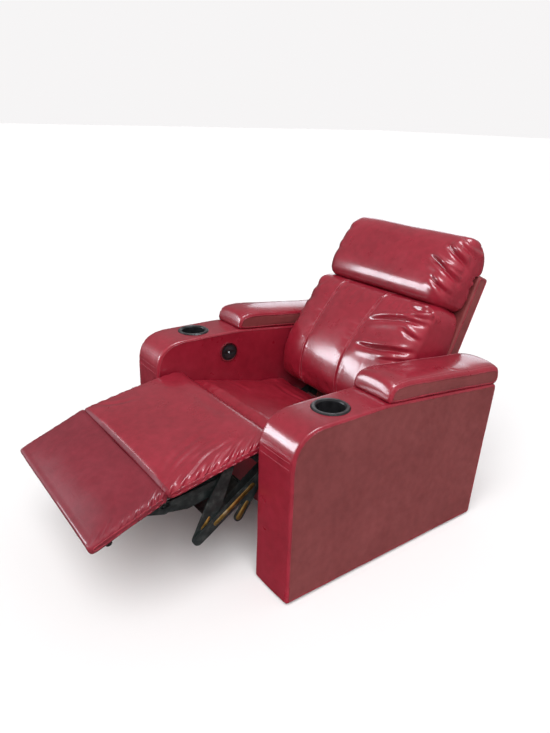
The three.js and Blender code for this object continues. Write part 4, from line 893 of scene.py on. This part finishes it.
def arms():
    for side, label in ((1, "left"), (-1, "right")):
        arm = arm_cushion(side)
        place = Matrix.Translation((side * ARM_X, 0, 0))
        picks = []
        for f in arm.faces:
            x = np.mean([arm.v[i, 0] for i in f])
            is_panel = any(arm.cap[i] != 0 for i in f)
            picks.append(1 if is_panel and x * side > 0 else 0)
        obj = mesh_object(f"{label}_arm_upholstery", placed(arm.v, place), arm.faces,
                          [LEATHER, SIDE_LEATHER], picks)
        round_cut(obj, 0.0445, (side * ARM_X * MM, -0.051, 0.520), (0, 0, 1), 0.2)
        if side < 0:
            round_cut(obj, 0.0302, (-0.294, 0.048, 0.445), (1, 0, 0), 0.064)
        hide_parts(f"{label}_arm_cover")
        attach(obj, "base")
        seam = Parts()
        for row in (0, arm.rows - 1):
            ring = arm.ring(row)
            ring = ring[from_break(np.where(ring[:, 2] > 9)[0])]
            ring[:, 0] -= np.sign(ring[:, 0]) * 0.8
            welt(seam, ring, 1.7, 3.5, closed=False)
        trim(f"{label}_arm_welts", seam, place, PIPING, "base")
        thread = Parts()
        ring = arm.ring(arm.rows // 2)
        for offset in (-SEAM_STITCHES, SEAM_STITCHES):
            j = int(np.argmin(np.hypot(ring[:, 1] - ARM_FRONT, ring[:, 2] - ARM_SEAM - offset)))
            ids = np.arange(arm.rows) * arm.count + j
            stitch(thread, arm, ids[np.abs(arm.v[ids, 0]) < 66])
        trim(f"{label}_arm_stitches", thread, place, THREAD_WITH_PAINTED_HIGHLIGHT, "base")


# Arm pads

PAD_SHARES = [
    (0.0, 0.10), (0.012, 0.0), (0.3, 0.0), (0.7, 0.0), (0.985, 0.0), (1.0, 0.14),
    (1.0, 0.6), (0.98, 0.9), (0.7, 0.985), (0.35, 1.0), (0.09, 0.965), (0.016, 0.7),
]


def arm_pads():
    for side, label in ((1, "left"), (-1, "right")):
        loops = []
        counts = None
        for crown in (13, 0):
            points = [(a * 488, u * 55 + (crown if u > 0.5 else 0)) for a, u in PAD_SHARES]
            loop, counts = spline_loop(points, counts, 4.5)
            loops.append(loop)
        pad = Cushion(loops[1], loops[0], ARM_PAD_HALF, roll=9, step=4.5, swell=2.6,
                      panel_bulge=2.0)
        x, y, z = pad.v.T.copy()
        edge = ARM_PAD_HALF - np.abs(x)
        top = (z > 28) & (pad.cap == 0)
        amount = np.zeros(len(pad.v))
        places = spaced(0, pad.arc[-1], 26, 61 + side)
        ridges = pleats(pad.around, edge, places, 0.2, 16, 3.0, 0.7, 62 + side)
        amount += np.where(top, ridges, 0)
        knot = np.exp(-(np.hypot(y - 12, ARM_PAD_HALF - x * side) / 34) ** 2)
        puckers = gathers(y * 1.2 + z, edge, 11, 2.6, 26, 71 + side)
        amount += np.where(pad.cap == 0, knot * puckers, 0)
        amount += np.where(top, waves(x, y, 120, 63 + side, 2.6), 0)
        amount = creased(amount, top, furrow, x, y, (
            ([(-70, 90), (-30, 70), (20, 82)], 5, 1.0),
            ([(40 * side, 250), (64 * side, 300)], 4, 1.0),
        ))
        amount += np.where(pad.cap != 0, waves(y, z, 70, 67 + side, 1.6), 0)
        pad.push(np.where(z < 1.5, 0, amount))
        pad.v[:, 2] = np.maximum(pad.v[:, 2], 0.0)
        place = Matrix.Translation((side * ARM_X, 95, 520.4)) @ Matrix.Rotation(
            math.radians(-6), 4, "X")
        picks = [1 if any(pad.cap[i] != 0 for i in f) else 0 for f in pad.faces]
        upholstered(f"{label}_arm_pad_upholstery", pad, place, [LEATHER, SIDE_LEATHER], "base",
                    f"{label}_arm_pad", picks)
        seam = Parts()
        for row in (0, pad.rows - 1):
            ring = pad.ring(row)
            welt(seam, ring[from_break(np.where(ring[:, 2] > 3)[0])], 1.9, 3.5, closed=False)
        trim(f"{label}_arm_pad_welts", seam, place, PIPING, "base")
        thread = Parts()
        for inset in (6.5, 11.5):
            for end in (-1, 1):
                row = pad.row_at(end * (ARM_PAD_HALF - inset))
                raised = from_break(np.where(pad.ring(row)[:, 2] > 24)[0])
                stitch(thread, pad, row * pad.count + raised)
        trim(f"{label}_arm_pad_stitches", thread, place, THREAD_WITH_PAINTED_HIGHLIGHT, "base")


# Seat, chaise and extension

def seat():
    low = [(12, -58, 8, 0), (428, -58, 8, 0), (434, 2, 14, 0), (3, -1, 22, 0)]
    high = [(12, -58, 8, 0), (428, -58, 8, 0), (434, 7, 16, 3), (3, 25, 30, 4)]
    loop0, counts = fillet_loop(high, None, 5.5, 9)
    loop1, _ = fillet_loop(low, counts, 5.5, 9)
    pad = Cushion(even(loop1, 3), even(loop0, 3), SEAT_HALF, roll=15, step=5.5, swell=3.0,
                  panel_bulge=1.0)
    y, z = pad.v[:, 1], pad.v[:, 2]
    body = slice(0, pad.rows * pad.count)
    filled(pad, (z[body] < -20) | (y[body] > 400), pressure=3, growth=0.004, most=7)
    x, y, z = pad.v.T.copy()
    edge = SEAT_HALF - np.abs(x)
    top = (z > -6) & (pad.cap == 0)
    amount = np.where(top, waves(x, y, 150, 81, 7), 0)
    amount += np.where(top, waves(x, y, 75, 82, 1.6), 0)
    corner = np.clip((np.abs(x) - 215) / 45, 0, 1) * np.clip((y - 300) / 80, 0, 1)
    amount += np.where(top, 9 * corner, 0)
    amount += np.where(top, pleats(y, edge, spaced(0, 430, 40, 83), 0.3, 40, 6.0, 1.2, 84), 0)
    amount = creased(amount, top, furrow, x, y, (
        ([(-200, 330), (-90, 300), (40, 310)], 9, 2.6),
        ([(60, 250), (160, 290), (240, 280)], 8, 2.4),
        ([(-250, 120), (-180, 150), (-90, 140)], 8, 2.0),
        ([(120, 90), (200, 120), (262, 90)], 8, 2.2),
    ))
    pad.push(amount)
    upholstered("seat_upholstery", pad, SEAT, [SEAT_LEATHER], "base", "seat_cushion")


def footrest_pad(loop_points, crown_swell):
    loops = []
    counts = None
    for which in (1, 0):
        loop, counts = spline_loop(loop_points(which), counts, 3.6)
        loops.append(loop)
    return Cushion(loops[1], loops[0], FOOT_HALF, roll=11, step=5.0, swell=crown_swell,
                   panel_bulge=1.5, fine=75)


def painted_shade_edges(pad, chosen):
    """Picks the second material for the faces along the edges that chosen takes: there the darker
    leather paints shade.
    """
    centres = np.array([pad.v[list(f)].mean(axis=0)[1] for f in pad.faces])
    return [int(k) for k in chosen(centres)]


def chaise():
    shares = [
        (1.006, 0.4), (1.014, 0.74), (1.002, 0.98), (0.972, 1.07), (0.88, 1.06), (0.5, 1.05),
        (0.2, 1.0), (0.06, 0.8), (0.005, 0.5), (0.0, 0.2), (0.03, 0.02), (0.5, 0.02),
        (0.985, 0.02),
    ]

    def outline(full):
        points = []
        for along, up in shares:
            rear = math.sin(math.pi / 2 * min(1, (along + 0.12) / 0.5)) ** 0.5
            front = 1 - max(0, (along - 0.84) / 0.16) ** 4
            rise = 15 * full * rear * max(0, front) if up > 0.5 else 0
            points.append((-(-32 + along * 341), 24 + up * 28 + rise))
        return points

    pad = footrest_pad(outline, 3.4)
    x, y, z = pad.v.T.copy()
    f = -y
    edge = pad.reach - np.abs(pad.s)
    top = (z > 36) & (pad.cap == 0)
    amount = np.where(top, waves(x, y, 170, 91, 5.0), 0)
    amount += np.where(top, waves(x, y, 80, 92, 1.2), 0)
    rim = (pad.cap == 0) & (z > 30)
    amount += np.where(rim & (x > 0), pleats(
        f, edge, spaced(20, 372, 22, 93), 1.3, 44, 3.0, 5.4, 94, bend=0.25), 0)
    amount += np.where(top & (x > 0), pleats(
        f, edge, spaced(24, 372, 40, 97), 1.4, 92, 5.5, 2.4, 98, bend=0.4), 0)
    amount += np.where(rim & (x < 0), pleats(
        f, edge, spaced(20, 360, 27, 95), 1.2, 36, 3.6, 1.6, 96, bend=0.25), 0)
    amount = creased(amount, top, furrow, x, f, (
        ([(262, 300), (208, 268), (172, 214), (140, 132)], 10, 2.6),
        ([(262, 292), (226, 252), (200, 196), (178, 112)], 9, 3.0),
        ([(262, 262), (232, 220), (212, 168), (200, 96)], 8, 3.0),
        ([(264, 226), (240, 180), (226, 130), (220, 66)], 7, 2.6),
        ([(-264, 280), (-206, 232), (-180, 170)], 9, 2.0),
        ([(-120, 20), (0, 34), (130, 18)], 14, 1.6),
    ))
    pad.push(amount)
    # the faces of the front edge that rolls into the groove take the darker leather: painted shade
    picks = painted_shade_edges(pad, lambda y: y < -303)
    upholstered("chaise_upholstery", pad, CHAISE, [LEATHER, GROOVE_PAINTED_SHADE_LEATHER], "footrest",
                "chaise_pad", picks)
    end_welts("chaise_welts", pad, 1.8, 4.0, CHAISE, "footrest")


def extension():
    shares = [
        (1.0, 0.4), (0.99, 0.84), (0.9, 0.99), (0.6, 1.03), (0.35, 1.04), (0.08, 1.08),
        (-0.035, 1.12), (-0.08, 0.96), (-0.078, 0.6), (-0.045, 0.12), (0.0, 0.02), (0.5, 0.02),
        (0.985, 0.05),
    ]

    def outline(full):
        points = []
        for along, up in shares:
            rise = 11 * full * math.sin(math.pi * min(1, along + 0.12)) ** 0.5 if up > 0.5 else 0
            points.append((-(5 + along * 201), 48.7 + up * 28 + rise))
        return points

    pad = footrest_pad(outline, 3.6)
    x, y, z = pad.v.T.copy()
    f = -y
    edge = pad.reach - np.abs(pad.s)
    top = (z > 60) & (pad.cap == 0)
    amount = np.where(top, waves(x, y, 170, 101, 3.2), 0)
    near_groove = np.clip(1.4 - f / 160, 0.15, 1)
    rim = (pad.cap == 0) & (z > 54)
    amount += np.where(rim & (x > 0), near_groove * pleats(
        f, edge, spaced(6, 250, 20, 102), 1.1, 34, 3.0, 5.2, 103, bend=0.2), 0)
    amount += np.where(rim & (x < 0), near_groove * pleats(
        f, edge, spaced(6, 230, 24, 106), 1.0, 26, 3.4, 1.4, 107), 0)
    pad.push(amount)
    # the extension wears the darker footrest leather, and its rear edge at the groove and its front
    # tip edge take the darkest one: both are painted shade
    picks = painted_shade_edges(pad, lambda y: (y > 4) | (y < -200))
    upholstered("extension_upholstery", pad, FLAP, [SHADED_FOOT_LEATHER, GROOVE_PAINTED_SHADE_LEATHER], "extension",
                "extension_pad", picks)
    end_welts("extension_welts", pad, 1.8, 4.0, FLAP, "extension")


def bridge():
    """The leather that joins the two pads at the bottom of the groove between them."""
    start = CHAISE @ Vector((0, -300, 34))
    end = FLAP @ Vector((0, -6, 58))
    middle = (start + end) / 2 - Vector((0, 0, 4))
    path = curved([(p.y, p.z) for p in (start, middle, end)], 8)
    half = 270
    lines = np.linspace(-half, half, 73)
    tangent = np.gradient(path, axis=0)
    tangent /= np.linalg.norm(tangent, axis=1)[:, None]
    lift = np.column_stack([-tangent[:, 1], tangent[:, 0]])
    count = len(path)
    verts = []
    for x in lines:
        for offset in (0.0, 1.6):
            for p in path + lift * offset:
                verts.append((x, p[0], p[1]))
    faces = []
    block = 2 * count
    for i in range(len(lines) - 1):
        for k in range(count - 1):
            a = i * block + k
            faces.append((a, a + 1, a + block + 1, a + block))
            faces.append((a + count, a + count + block, a + count + block + 1, a + count + 1))
        for k in (0, count - 1):
            a = i * block + k
            quad = (a, a + block, a + block + count, a + count)
            faces.append(quad if k == 0 else quad[::-1])
    for i in (0, len(lines) - 1):
        for k in range(count - 1):
            a = i * block + k
            quad = (a, a + count, a + count + 1, a + 1)
            faces.append(quad if i == 0 else quad[::-1])
    obj = mesh_object("footrest_bridge", placed(np.array(verts), Matrix.Identity(4)), faces,
                      [LEATHER])
    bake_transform(obj)


# Back

LUMBAR = [
    (0.0, 0.03), (0.4, 0.0), (0.8, 0.0), (0.95, 0.14), (1.0, 0.33), (0.94, 0.52),
    (0.87, 0.69), (0.81, 0.83), (0.745, 0.945), (0.56, 0.99), (0.2, 0.995), (0.0, 0.97),
]
HANG = (52.3 - 14) / 184
REST = (SHELL_TOP - 508) / 240
HEADREST = [
    (HANG, 0.03), (0.5, 0.0), (0.82, 0.0), (0.95, 0.055), (1.0, 0.18), (0.985, 0.34),
    (0.92, 0.58), (0.82, 0.84), (0.65, 0.98), (0.37, 1.0), (0.15, 0.92), (0.03, 0.79),
    (0.0, 0.66), (0.08, REST), (HANG, REST), (HANG, 0.3),
]


def lumbar():
    def outline(full):
        return [(SHELL_FRONT - deep * 210 - (26 * full * (1 - up ** 3) if deep > 0.5 else 0),
                 109 + up * 396) for deep, up in LUMBAR][::-1]

    loop1, counts = spline_loop(outline(1), None, 3.6)
    loop0, _ = spline_loop(outline(0), counts, 3.6)
    seam_x = 0.33 * 275
    pad = Cushion(loop0, loop1, BACK_HALF, roll=38, step=4.6, swell=4.0, panel_bulge=3.0,
                  extra=(-seam_x, seam_x), fine=80)
    x, y, z = pad.v.T.copy()
    front = np.clip((60 - y) / 60, 0, 1) * (pad.cap == 0)
    gap = np.abs(np.abs(x) - seam_x)
    # the cover sits a little to the right, so its two seams are off the middle
    heights = [120, 180, 310, 450, 500]
    first_seam = np.interp(z, heights, [-128, -130, -140, -142, -138])
    second_seam = np.interp(z, heights, [62, 56, 50, 62, 74])
    lines = [-BACK_HALF, -seam_x, seam_x, BACK_HALF]
    first_share = np.interp(x, lines, [0, 1, 0, 0])
    second_share = np.interp(x, lines, [0, 0, 1, 0])
    pad.v[:, 0] += first_share * (first_seam + seam_x) + second_share * (second_seam - seam_x)
    x = pad.v[:, 0].copy()
    body = slice(0, pad.rows * pad.count)
    filled(pad, (front[body] < 0.3) | (gap[body] < 3) | (z[body] > 480), growth=0.008, most=12)
    s = pad.s
    front = np.clip((60 - y) / 60, 0, 1)
    amount = front * stitched_valley(gap, 2.6, 1.9)
    amount += front * waves(x, z, 170, 111, 5)
    amount += front * waves(x, z, 80, 112, 1.2)
    amount += front * pleats(z, gap, spaced(130, 500, 46, 113), 0.2, 26, 3.6, 0.5, 114)
    amount = creased(amount, front, fold, s, z, (
        ([(96, 392), (150, 412), (204, 428), (280, 440)], 7.0, 12.0),
        ([(212, 446), (246, 452), (290, 464)], 4.5, 8.0),
        ([(190, 478), (236, 474), (290, 490)], 5.0, 7.0),
        ([(238, 504), (262, 486), (296, 476)], 5.0, 6.0),
        ([(216, 404), (246, 392), (284, 384)], 6.0, 6.0),
        ([(120, 306), (170, 312), (226, 328), (284, 346)], 6.5, 12.0),
        ([(206, 286), (246, 300), (288, 318)], 5.0, 5.0),
        ([(230, 258), (276, 266)], 5.5, 3.5),
        ([(-196, 470), (-240, 452), (-292, 456)], 9.0, 3.4),
        ([(-186, 412), (-236, 396), (-292, 404)], 10.0, 3.0),
        ([(-200, 330), (-240, 318), (-290, 322)], 10.0, 2.0),
    ))
    amount = creased(amount, front, furrow, x, z, (
        ([(-180, 150), (-60, 132), (60, 134), (190, 152)], 16, 2.5),
    ))
    top = (z > 470) & (y > -60) & (pad.cap == 0)
    amount = np.where(top, 0, amount)
    pad.push(amount)
    pad.v[:, 2] += np.where(pad.cap == 0, 7.5 * np.clip((z - 455) / 45, 0, 1), 0)
    upholstered("lumbar_upholstery", pad, BACK, [LEATHER], "back", "lumbar_cushion")
    thread = Parts()
    for centre in (-seam_x, seam_x):
        for offset in (-SEAM_STITCHES, SEAM_STITCHES):
            row = pad.row_at(centre + offset)
            forward = from_break(np.where(pad.ring(row)[:, 1] < 10)[0])
            stitch(thread, pad, row * pad.count + forward)
    trim("lumbar_stitches", thread, BACK, THREAD_WITH_PAINTED_HIGHLIGHT, "back")


def headrest():
    def outline(full):
        return [(120 - deep * 184 - (12 * full if deep > 0.5 else 0), 508 + up * 240)
                for deep, up in HEADREST][::-1]

    loop1, counts = spline_loop(outline(1), None, 3.8)
    loop0, _ = spline_loop(outline(0), counts, 3.8)

    def clear(loop):
        out = loop.copy()
        inside = (out[:, 0] > SHELL_FRONT) & (out[:, 1] < SHELL_TOP)
        deep = out[:, 0] - SHELL_FRONT
        below = SHELL_TOP - out[:, 1]
        out[inside & (deep < below), 0] = SHELL_FRONT
        out[inside & (deep >= below), 1] = SHELL_TOP
        return out

    pad = Cushion(loop0, loop1, BACK_HALF, roll=50, step=5.0, swell=4.0, panel_bulge=7.0,
                  shape=clear, fine=60)
    x, y, z = pad.v.T.copy()
    s = pad.s
    free = ~((y > 70) & (z < 655))
    front = free & (y < 60)
    amount = np.where(free, waves(x, pad.around, 170, 121, 4.0), 0)
    amount += np.where(free, waves(x, pad.around, 80, 122, 1.0), 0)
    amount = creased(amount, front, fold, s, z, (
        ([(226, 744), (258, 730), (296, 716)], 5.0, 7.0),
        ([(236, 722), (262, 706), (304, 690)], 4.5, 6.0),
        ([(206, 700), (246, 678), (306, 650)], 6.0, 11.0),
        ([(168, 652), (208, 638), (262, 612), (308, 590)], 6.5, 13.0),
        ([(232, 640), (262, 630), (300, 622)], 4.5, 5.0),
        ([(206, 588), (246, 566), (300, 546)], 6.0, 10.0),
        ([(250, 556), (286, 536), (300, 524)], 4.5, 5.0),
        ([(-300, 690), (-246, 688), (-204, 696)], 10.0, 2.6),
        ([(-300, 606), (-246, 606), (-198, 618)], 10.0, 2.6),
    ))
    pad.push(amount)
    v = pad.v
    rest = 649.5  # just above the shell's top, where the pillow lies on it
    inside = (v[:, 1] > SHELL_FRONT) & (v[:, 2] < rest) & (v[:, 2] > 500)
    deep = v[:, 1] - SHELL_FRONT
    below = rest - v[:, 2]
    v[inside & (deep < below), 1] = SHELL_FRONT
    v[inside & (deep >= below), 2] = rest
    upholstered("headrest_upholstery", pad, BACK, [LEATHER], "back", "headrest_pillow")


def shell():
    corners = [(82, 39, 5, 0), (134, 39, 5, 0), (134, 649, 8, 0), (82, 649, 8, 0)]
    loop, _ = fillet_loop(corners, None, 9.0, 5)
    pad = Cushion(loop, loop, SHELL_HALF, roll=8, step=9.0, swell=40, panel_bulge=0.5)
    x, y, z = pad.v.T.copy()
    amount = waves(x, z, 160, 131, 1.2) * (y > 120)
    pad.push(amount)
    pad.v[:, 1] = np.minimum(pad.v[:, 1], 134.8)
    upholstered("back_shell_upholstery", pad, BACK, [SIDE_LEATHER], "back", "back_shell")
    end_welts("back_shell_welts", pad, 1.7, 6.0, BACK, "back")


def apron():
    front, rear, foot, head = -24.4, -20.2, 14, 262
    sides = ((front, foot), (rear, foot), (rear, head), (front, head))
    corners = [(y, z, 1.4, 0) for y, z in sides]
    loop, _ = fillet_loop(corners, None, 6.0, 4)
    pad = Cushion(loop, loop, APRON_HALF, roll=2, step=5.0, swell=40, panel_bulge=0.2)
    x, _, z = pad.v.T.copy()
    wave = 2.6 * np.sin(x / 31 + 0.6 * np.sin(x / 70)) * (noise2(x, z, 120, 141) + 0.35)
    pad.v[:, 1] += wave * np.clip((head - z) / 60, 0, 1) ** 0.5
    obj = upholstered("apron_cloth", pad, Matrix.Identity(4), [SEAT_LEATHER], "base", "apron")
    lo, hi = Vector((-0.132, -0.06, 0.160)), Vector((-0.068, 0.02, 0.300))
    bpy.ops.mesh.primitive_cube_add(size=1, location=(lo + hi) / 2)
    tool = bpy.context.object
    tool.scale = hi - lo
    carve(obj, tool, "slot")


def zinc_patches():
    """Thin plated pieces on the outer faces of the links nearest to the photo's yellow ones."""
    def along(start, end, low, high, width_low, width_high, steps=9):
        start, end = np.array(start, float), np.array(end, float)
        way = (end - start) / np.linalg.norm(end - start)
        side = np.array([-way[1], way[0]])
        points = []
        ends = (start + way * high, width_high, 90), (start + way * low, width_low, 270)
        for centre, width, first in ends:
            for a in np.radians(np.linspace(first, first - 180, steps)):
                points.append(centre + width * (math.cos(a) * way + math.sin(a) * side))
        return np.array(points)

    def plate(parts, outline, near, far):
        n = len(outline)
        for sign in (1, -1):
            verts = [(sign * x, y, z) for x in (near, far) for y, z in outline]
            faces = [tuple(range(n))[::-1], tuple(range(n, 2 * n))]
            faces += [(k, (k + 1) % n, n + (k + 1) % n, n + k) for k in range(n)]
            if sign < 0:
                faces = [f[::-1] for f in faces]
            parts.take(verts, faces)

    lower = Parts()
    plate(lower, along(KNEE, HIP, 62, 205, 6.5, 7.5), 255.9, 257.3)
    plate(lower, along(LOBE, HEEL, 0, 46, 9.0, 6.0), 255.9, 257.3)
    upper = Parts()
    plate(upper, along(KNEE, TOP, 34, 66, 9.0, 4.0), 250.4, 251.4)
    trim("lower_link_zinc", lower, Matrix.Identity(4), ZINC, "lower_links")
    trim("upper_link_zinc", upper, Matrix.Identity(4), ZINC, "upper_links")


# Finishes of the CAD nodes

def finish_nodes():
    finishes = {
        "arm_frame": WOOD, "cup_holder": BLACK, "cup_trim_ring": RING, "front_glide": RUBBER,
        "rear_glide": RUBBER, "seat_plate": STEEL, "base_rail": DARK_STEEL,
        "chaise_bracket": STEEL, "hinge_strap": STEEL, "upper_link": STEEL, "drive_link": STEEL,
        "flap_bracket": STEEL, "bumper": RUBBER, "lower_link": STEEL, "back_bracket": STEEL,
        "control_rim": CHROME, "control_body": BLACK, "recline_button": BUTTON,
        "close_button": BUTTON, "pilot_light": LENS, "seat_frame": WOOD, "seat_springs": DARK_STEEL,
        "front_cross_tube": DARK_STEEL, "rear_cross_tube": DARK_STEEL, "chaise_board": WOOD,
        "extension_board": WOOD, "torque_tube": DARK_STEEL, "cross_pan": DARK_STEEL,
        "drive_lever": STEEL,
        "actuator_housing": BLACK, "actuator_motor": BLACK, "actuator_rod": BARE_STEEL,
        "actuator_bracket": STEEL,
    }
    for name, obj in NODES.items():
        key = name.replace("left_", "").replace("right_", "")
        if key in finishes:
            obj.data.materials.clear()
            obj.data.materials.append(finishes[key])
            smooth_by_angle(obj)


def smooth_by_angle(obj):
    mesh = obj.data
    bm = bmesh.new()
    bm.from_mesh(mesh)
    for edge in bm.edges:
        if len(edge.link_faces) == 2:
            edge.smooth = edge.calc_face_angle(0) < math.radians(34)
    for face in bm.faces:
        face.smooth = True
    bm.to_mesh(mesh)
    bm.free()


# Stage, light and camera

def stage():
    bpy.ops.mesh.primitive_plane_add(size=120, location=(0, 0, 0))
    floor = bpy.context.object
    floor.name = "floor"
    material, tree, bsdf = shader("floor_pale", (0.865, 0.855, 0.857), 0.85)
    bsdf.inputs["Specular IOR Level"].default_value = 0.1
    floor.data.materials.append(material)
    world = bpy.data.worlds.new("studio")
    bpy.context.scene.world = world
    world.use_nodes = True
    tree = world.node_tree
    ambient = tree.nodes["Background"]
    ambient.inputs["Color"].default_value = (1.0, 0.985, 0.985, 1)
    direction = tree.nodes.new("ShaderNodeSeparateXYZ")
    tree.links.new(tree.nodes.new("ShaderNodeTexCoord").outputs["Generated"], direction.inputs[0])
    height = range_node(tree, direction.outputs["Z"], -0.25, 0.6, 0.06, 0.5)
    side = range_node(tree, direction.outputs["X"], -1.0, 0.2, 0.62, 1.0)
    lit = tree.nodes.new("ShaderNodeMath")
    lit.operation = "MULTIPLY_ADD"
    tree.links.new(height, lit.inputs[0])
    tree.links.new(side, lit.inputs[1])
    tree.links.new(range_node(tree, direction.outputs["X"], 0.3, 0.9, 0.0, 0.13), lit.inputs[2])
    tree.links.new(lit.outputs[0], ambient.inputs["Strength"])
    seen = tree.nodes.new("ShaderNodeBackground")
    seen.inputs["Color"].default_value = (0.925, 0.912, 0.914, 1)
    seen.inputs["Strength"].default_value = 1.0
    path = tree.nodes.new("ShaderNodeLightPath")
    mix = tree.nodes.new("ShaderNodeMixShader")
    tree.links.new(path.outputs["Is Camera Ray"], mix.inputs["Fac"])
    tree.links.new(ambient.outputs["Background"], mix.inputs[1])
    tree.links.new(seen.outputs["Background"], mix.inputs[2])
    tree.links.new(mix.outputs["Shader"], tree.nodes["World Output"].inputs["Surface"])
    floor.visible_glossy = False
    sun = bpy.data.lights.new("ceiling", "SUN")
    sun.energy = 3.2
    sun.angle = math.radians(55)
    obj = bpy.data.objects.new("ceiling", sun)
    obj.rotation_euler = Vector((-0.42, 0.45, -0.79)).to_track_quat("-Z", "Y").to_euler()
    obj.visible_glossy = False
    bpy.context.scene.collection.objects.link(obj)
    softbox("window", (-3.5, -4.25, 1.9), (0.1, 0.5, 0.7), 2.0, 1.9, 235)
    softbox("back_left", (-2.2, 3.2, 1.3), (0.2, 0.1, 0.55), 2.8, 1.6, 26)
    softbox("overhead", (0.7, 0.4, 3.3), (0.0, 0.0, 0.4), 1.3, 1.3, 70)
    bpy.context.scene.view_settings.view_transform = "Standard"


def softbox(name, place, target, width, height, power):
    light = bpy.data.lights.new(name, "AREA")
    light.shape = "RECTANGLE"
    light.size = width
    light.size_y = height
    light.energy = power
    light.color = (0.86, 0.93, 1.0)
    obj = bpy.data.objects.new(name, light)
    obj.location = place
    obj.rotation_euler = (Vector(target) - Vector(place)).to_track_quat("-Z", "Y").to_euler()
    obj.visible_diffuse = False
    bpy.context.scene.collection.objects.link(obj)


def camera():
    azimuth, elevation, roll = math.radians(53.2), math.radians(21.9), math.radians(1.8)
    back = Vector((math.sin(azimuth) * math.cos(elevation),
                   -math.cos(azimuth) * math.cos(elevation), math.sin(elevation)))
    right = Vector((math.cos(azimuth), math.sin(azimuth), 0))
    up = back.cross(right)
    across = math.cos(roll) * right + math.sin(roll) * up
    upright = -math.sin(roll) * right + math.cos(roll) * up
    data = bpy.data.cameras.new("camera")
    data.sensor_width = 36
    data.lens = 621 / 733 * 36
    obj = bpy.data.objects.new("camera", data)
    obj.matrix_world = Matrix((
        (across.x, upright.x, back.x, 1.464), (across.y, upright.y, back.y, -1.058),
        (across.z, upright.z, back.z, 1.227), (0, 0, 0, 1),
    ))
    bpy.context.scene.collection.objects.link(obj)
    bpy.context.scene.camera = obj


camera()
stage()
finish_nodes()
arms()
arm_pads()
seat()
chaise()
extension()
bridge()
lumbar()
headrest()
shell()
apron()
zinc_patches()
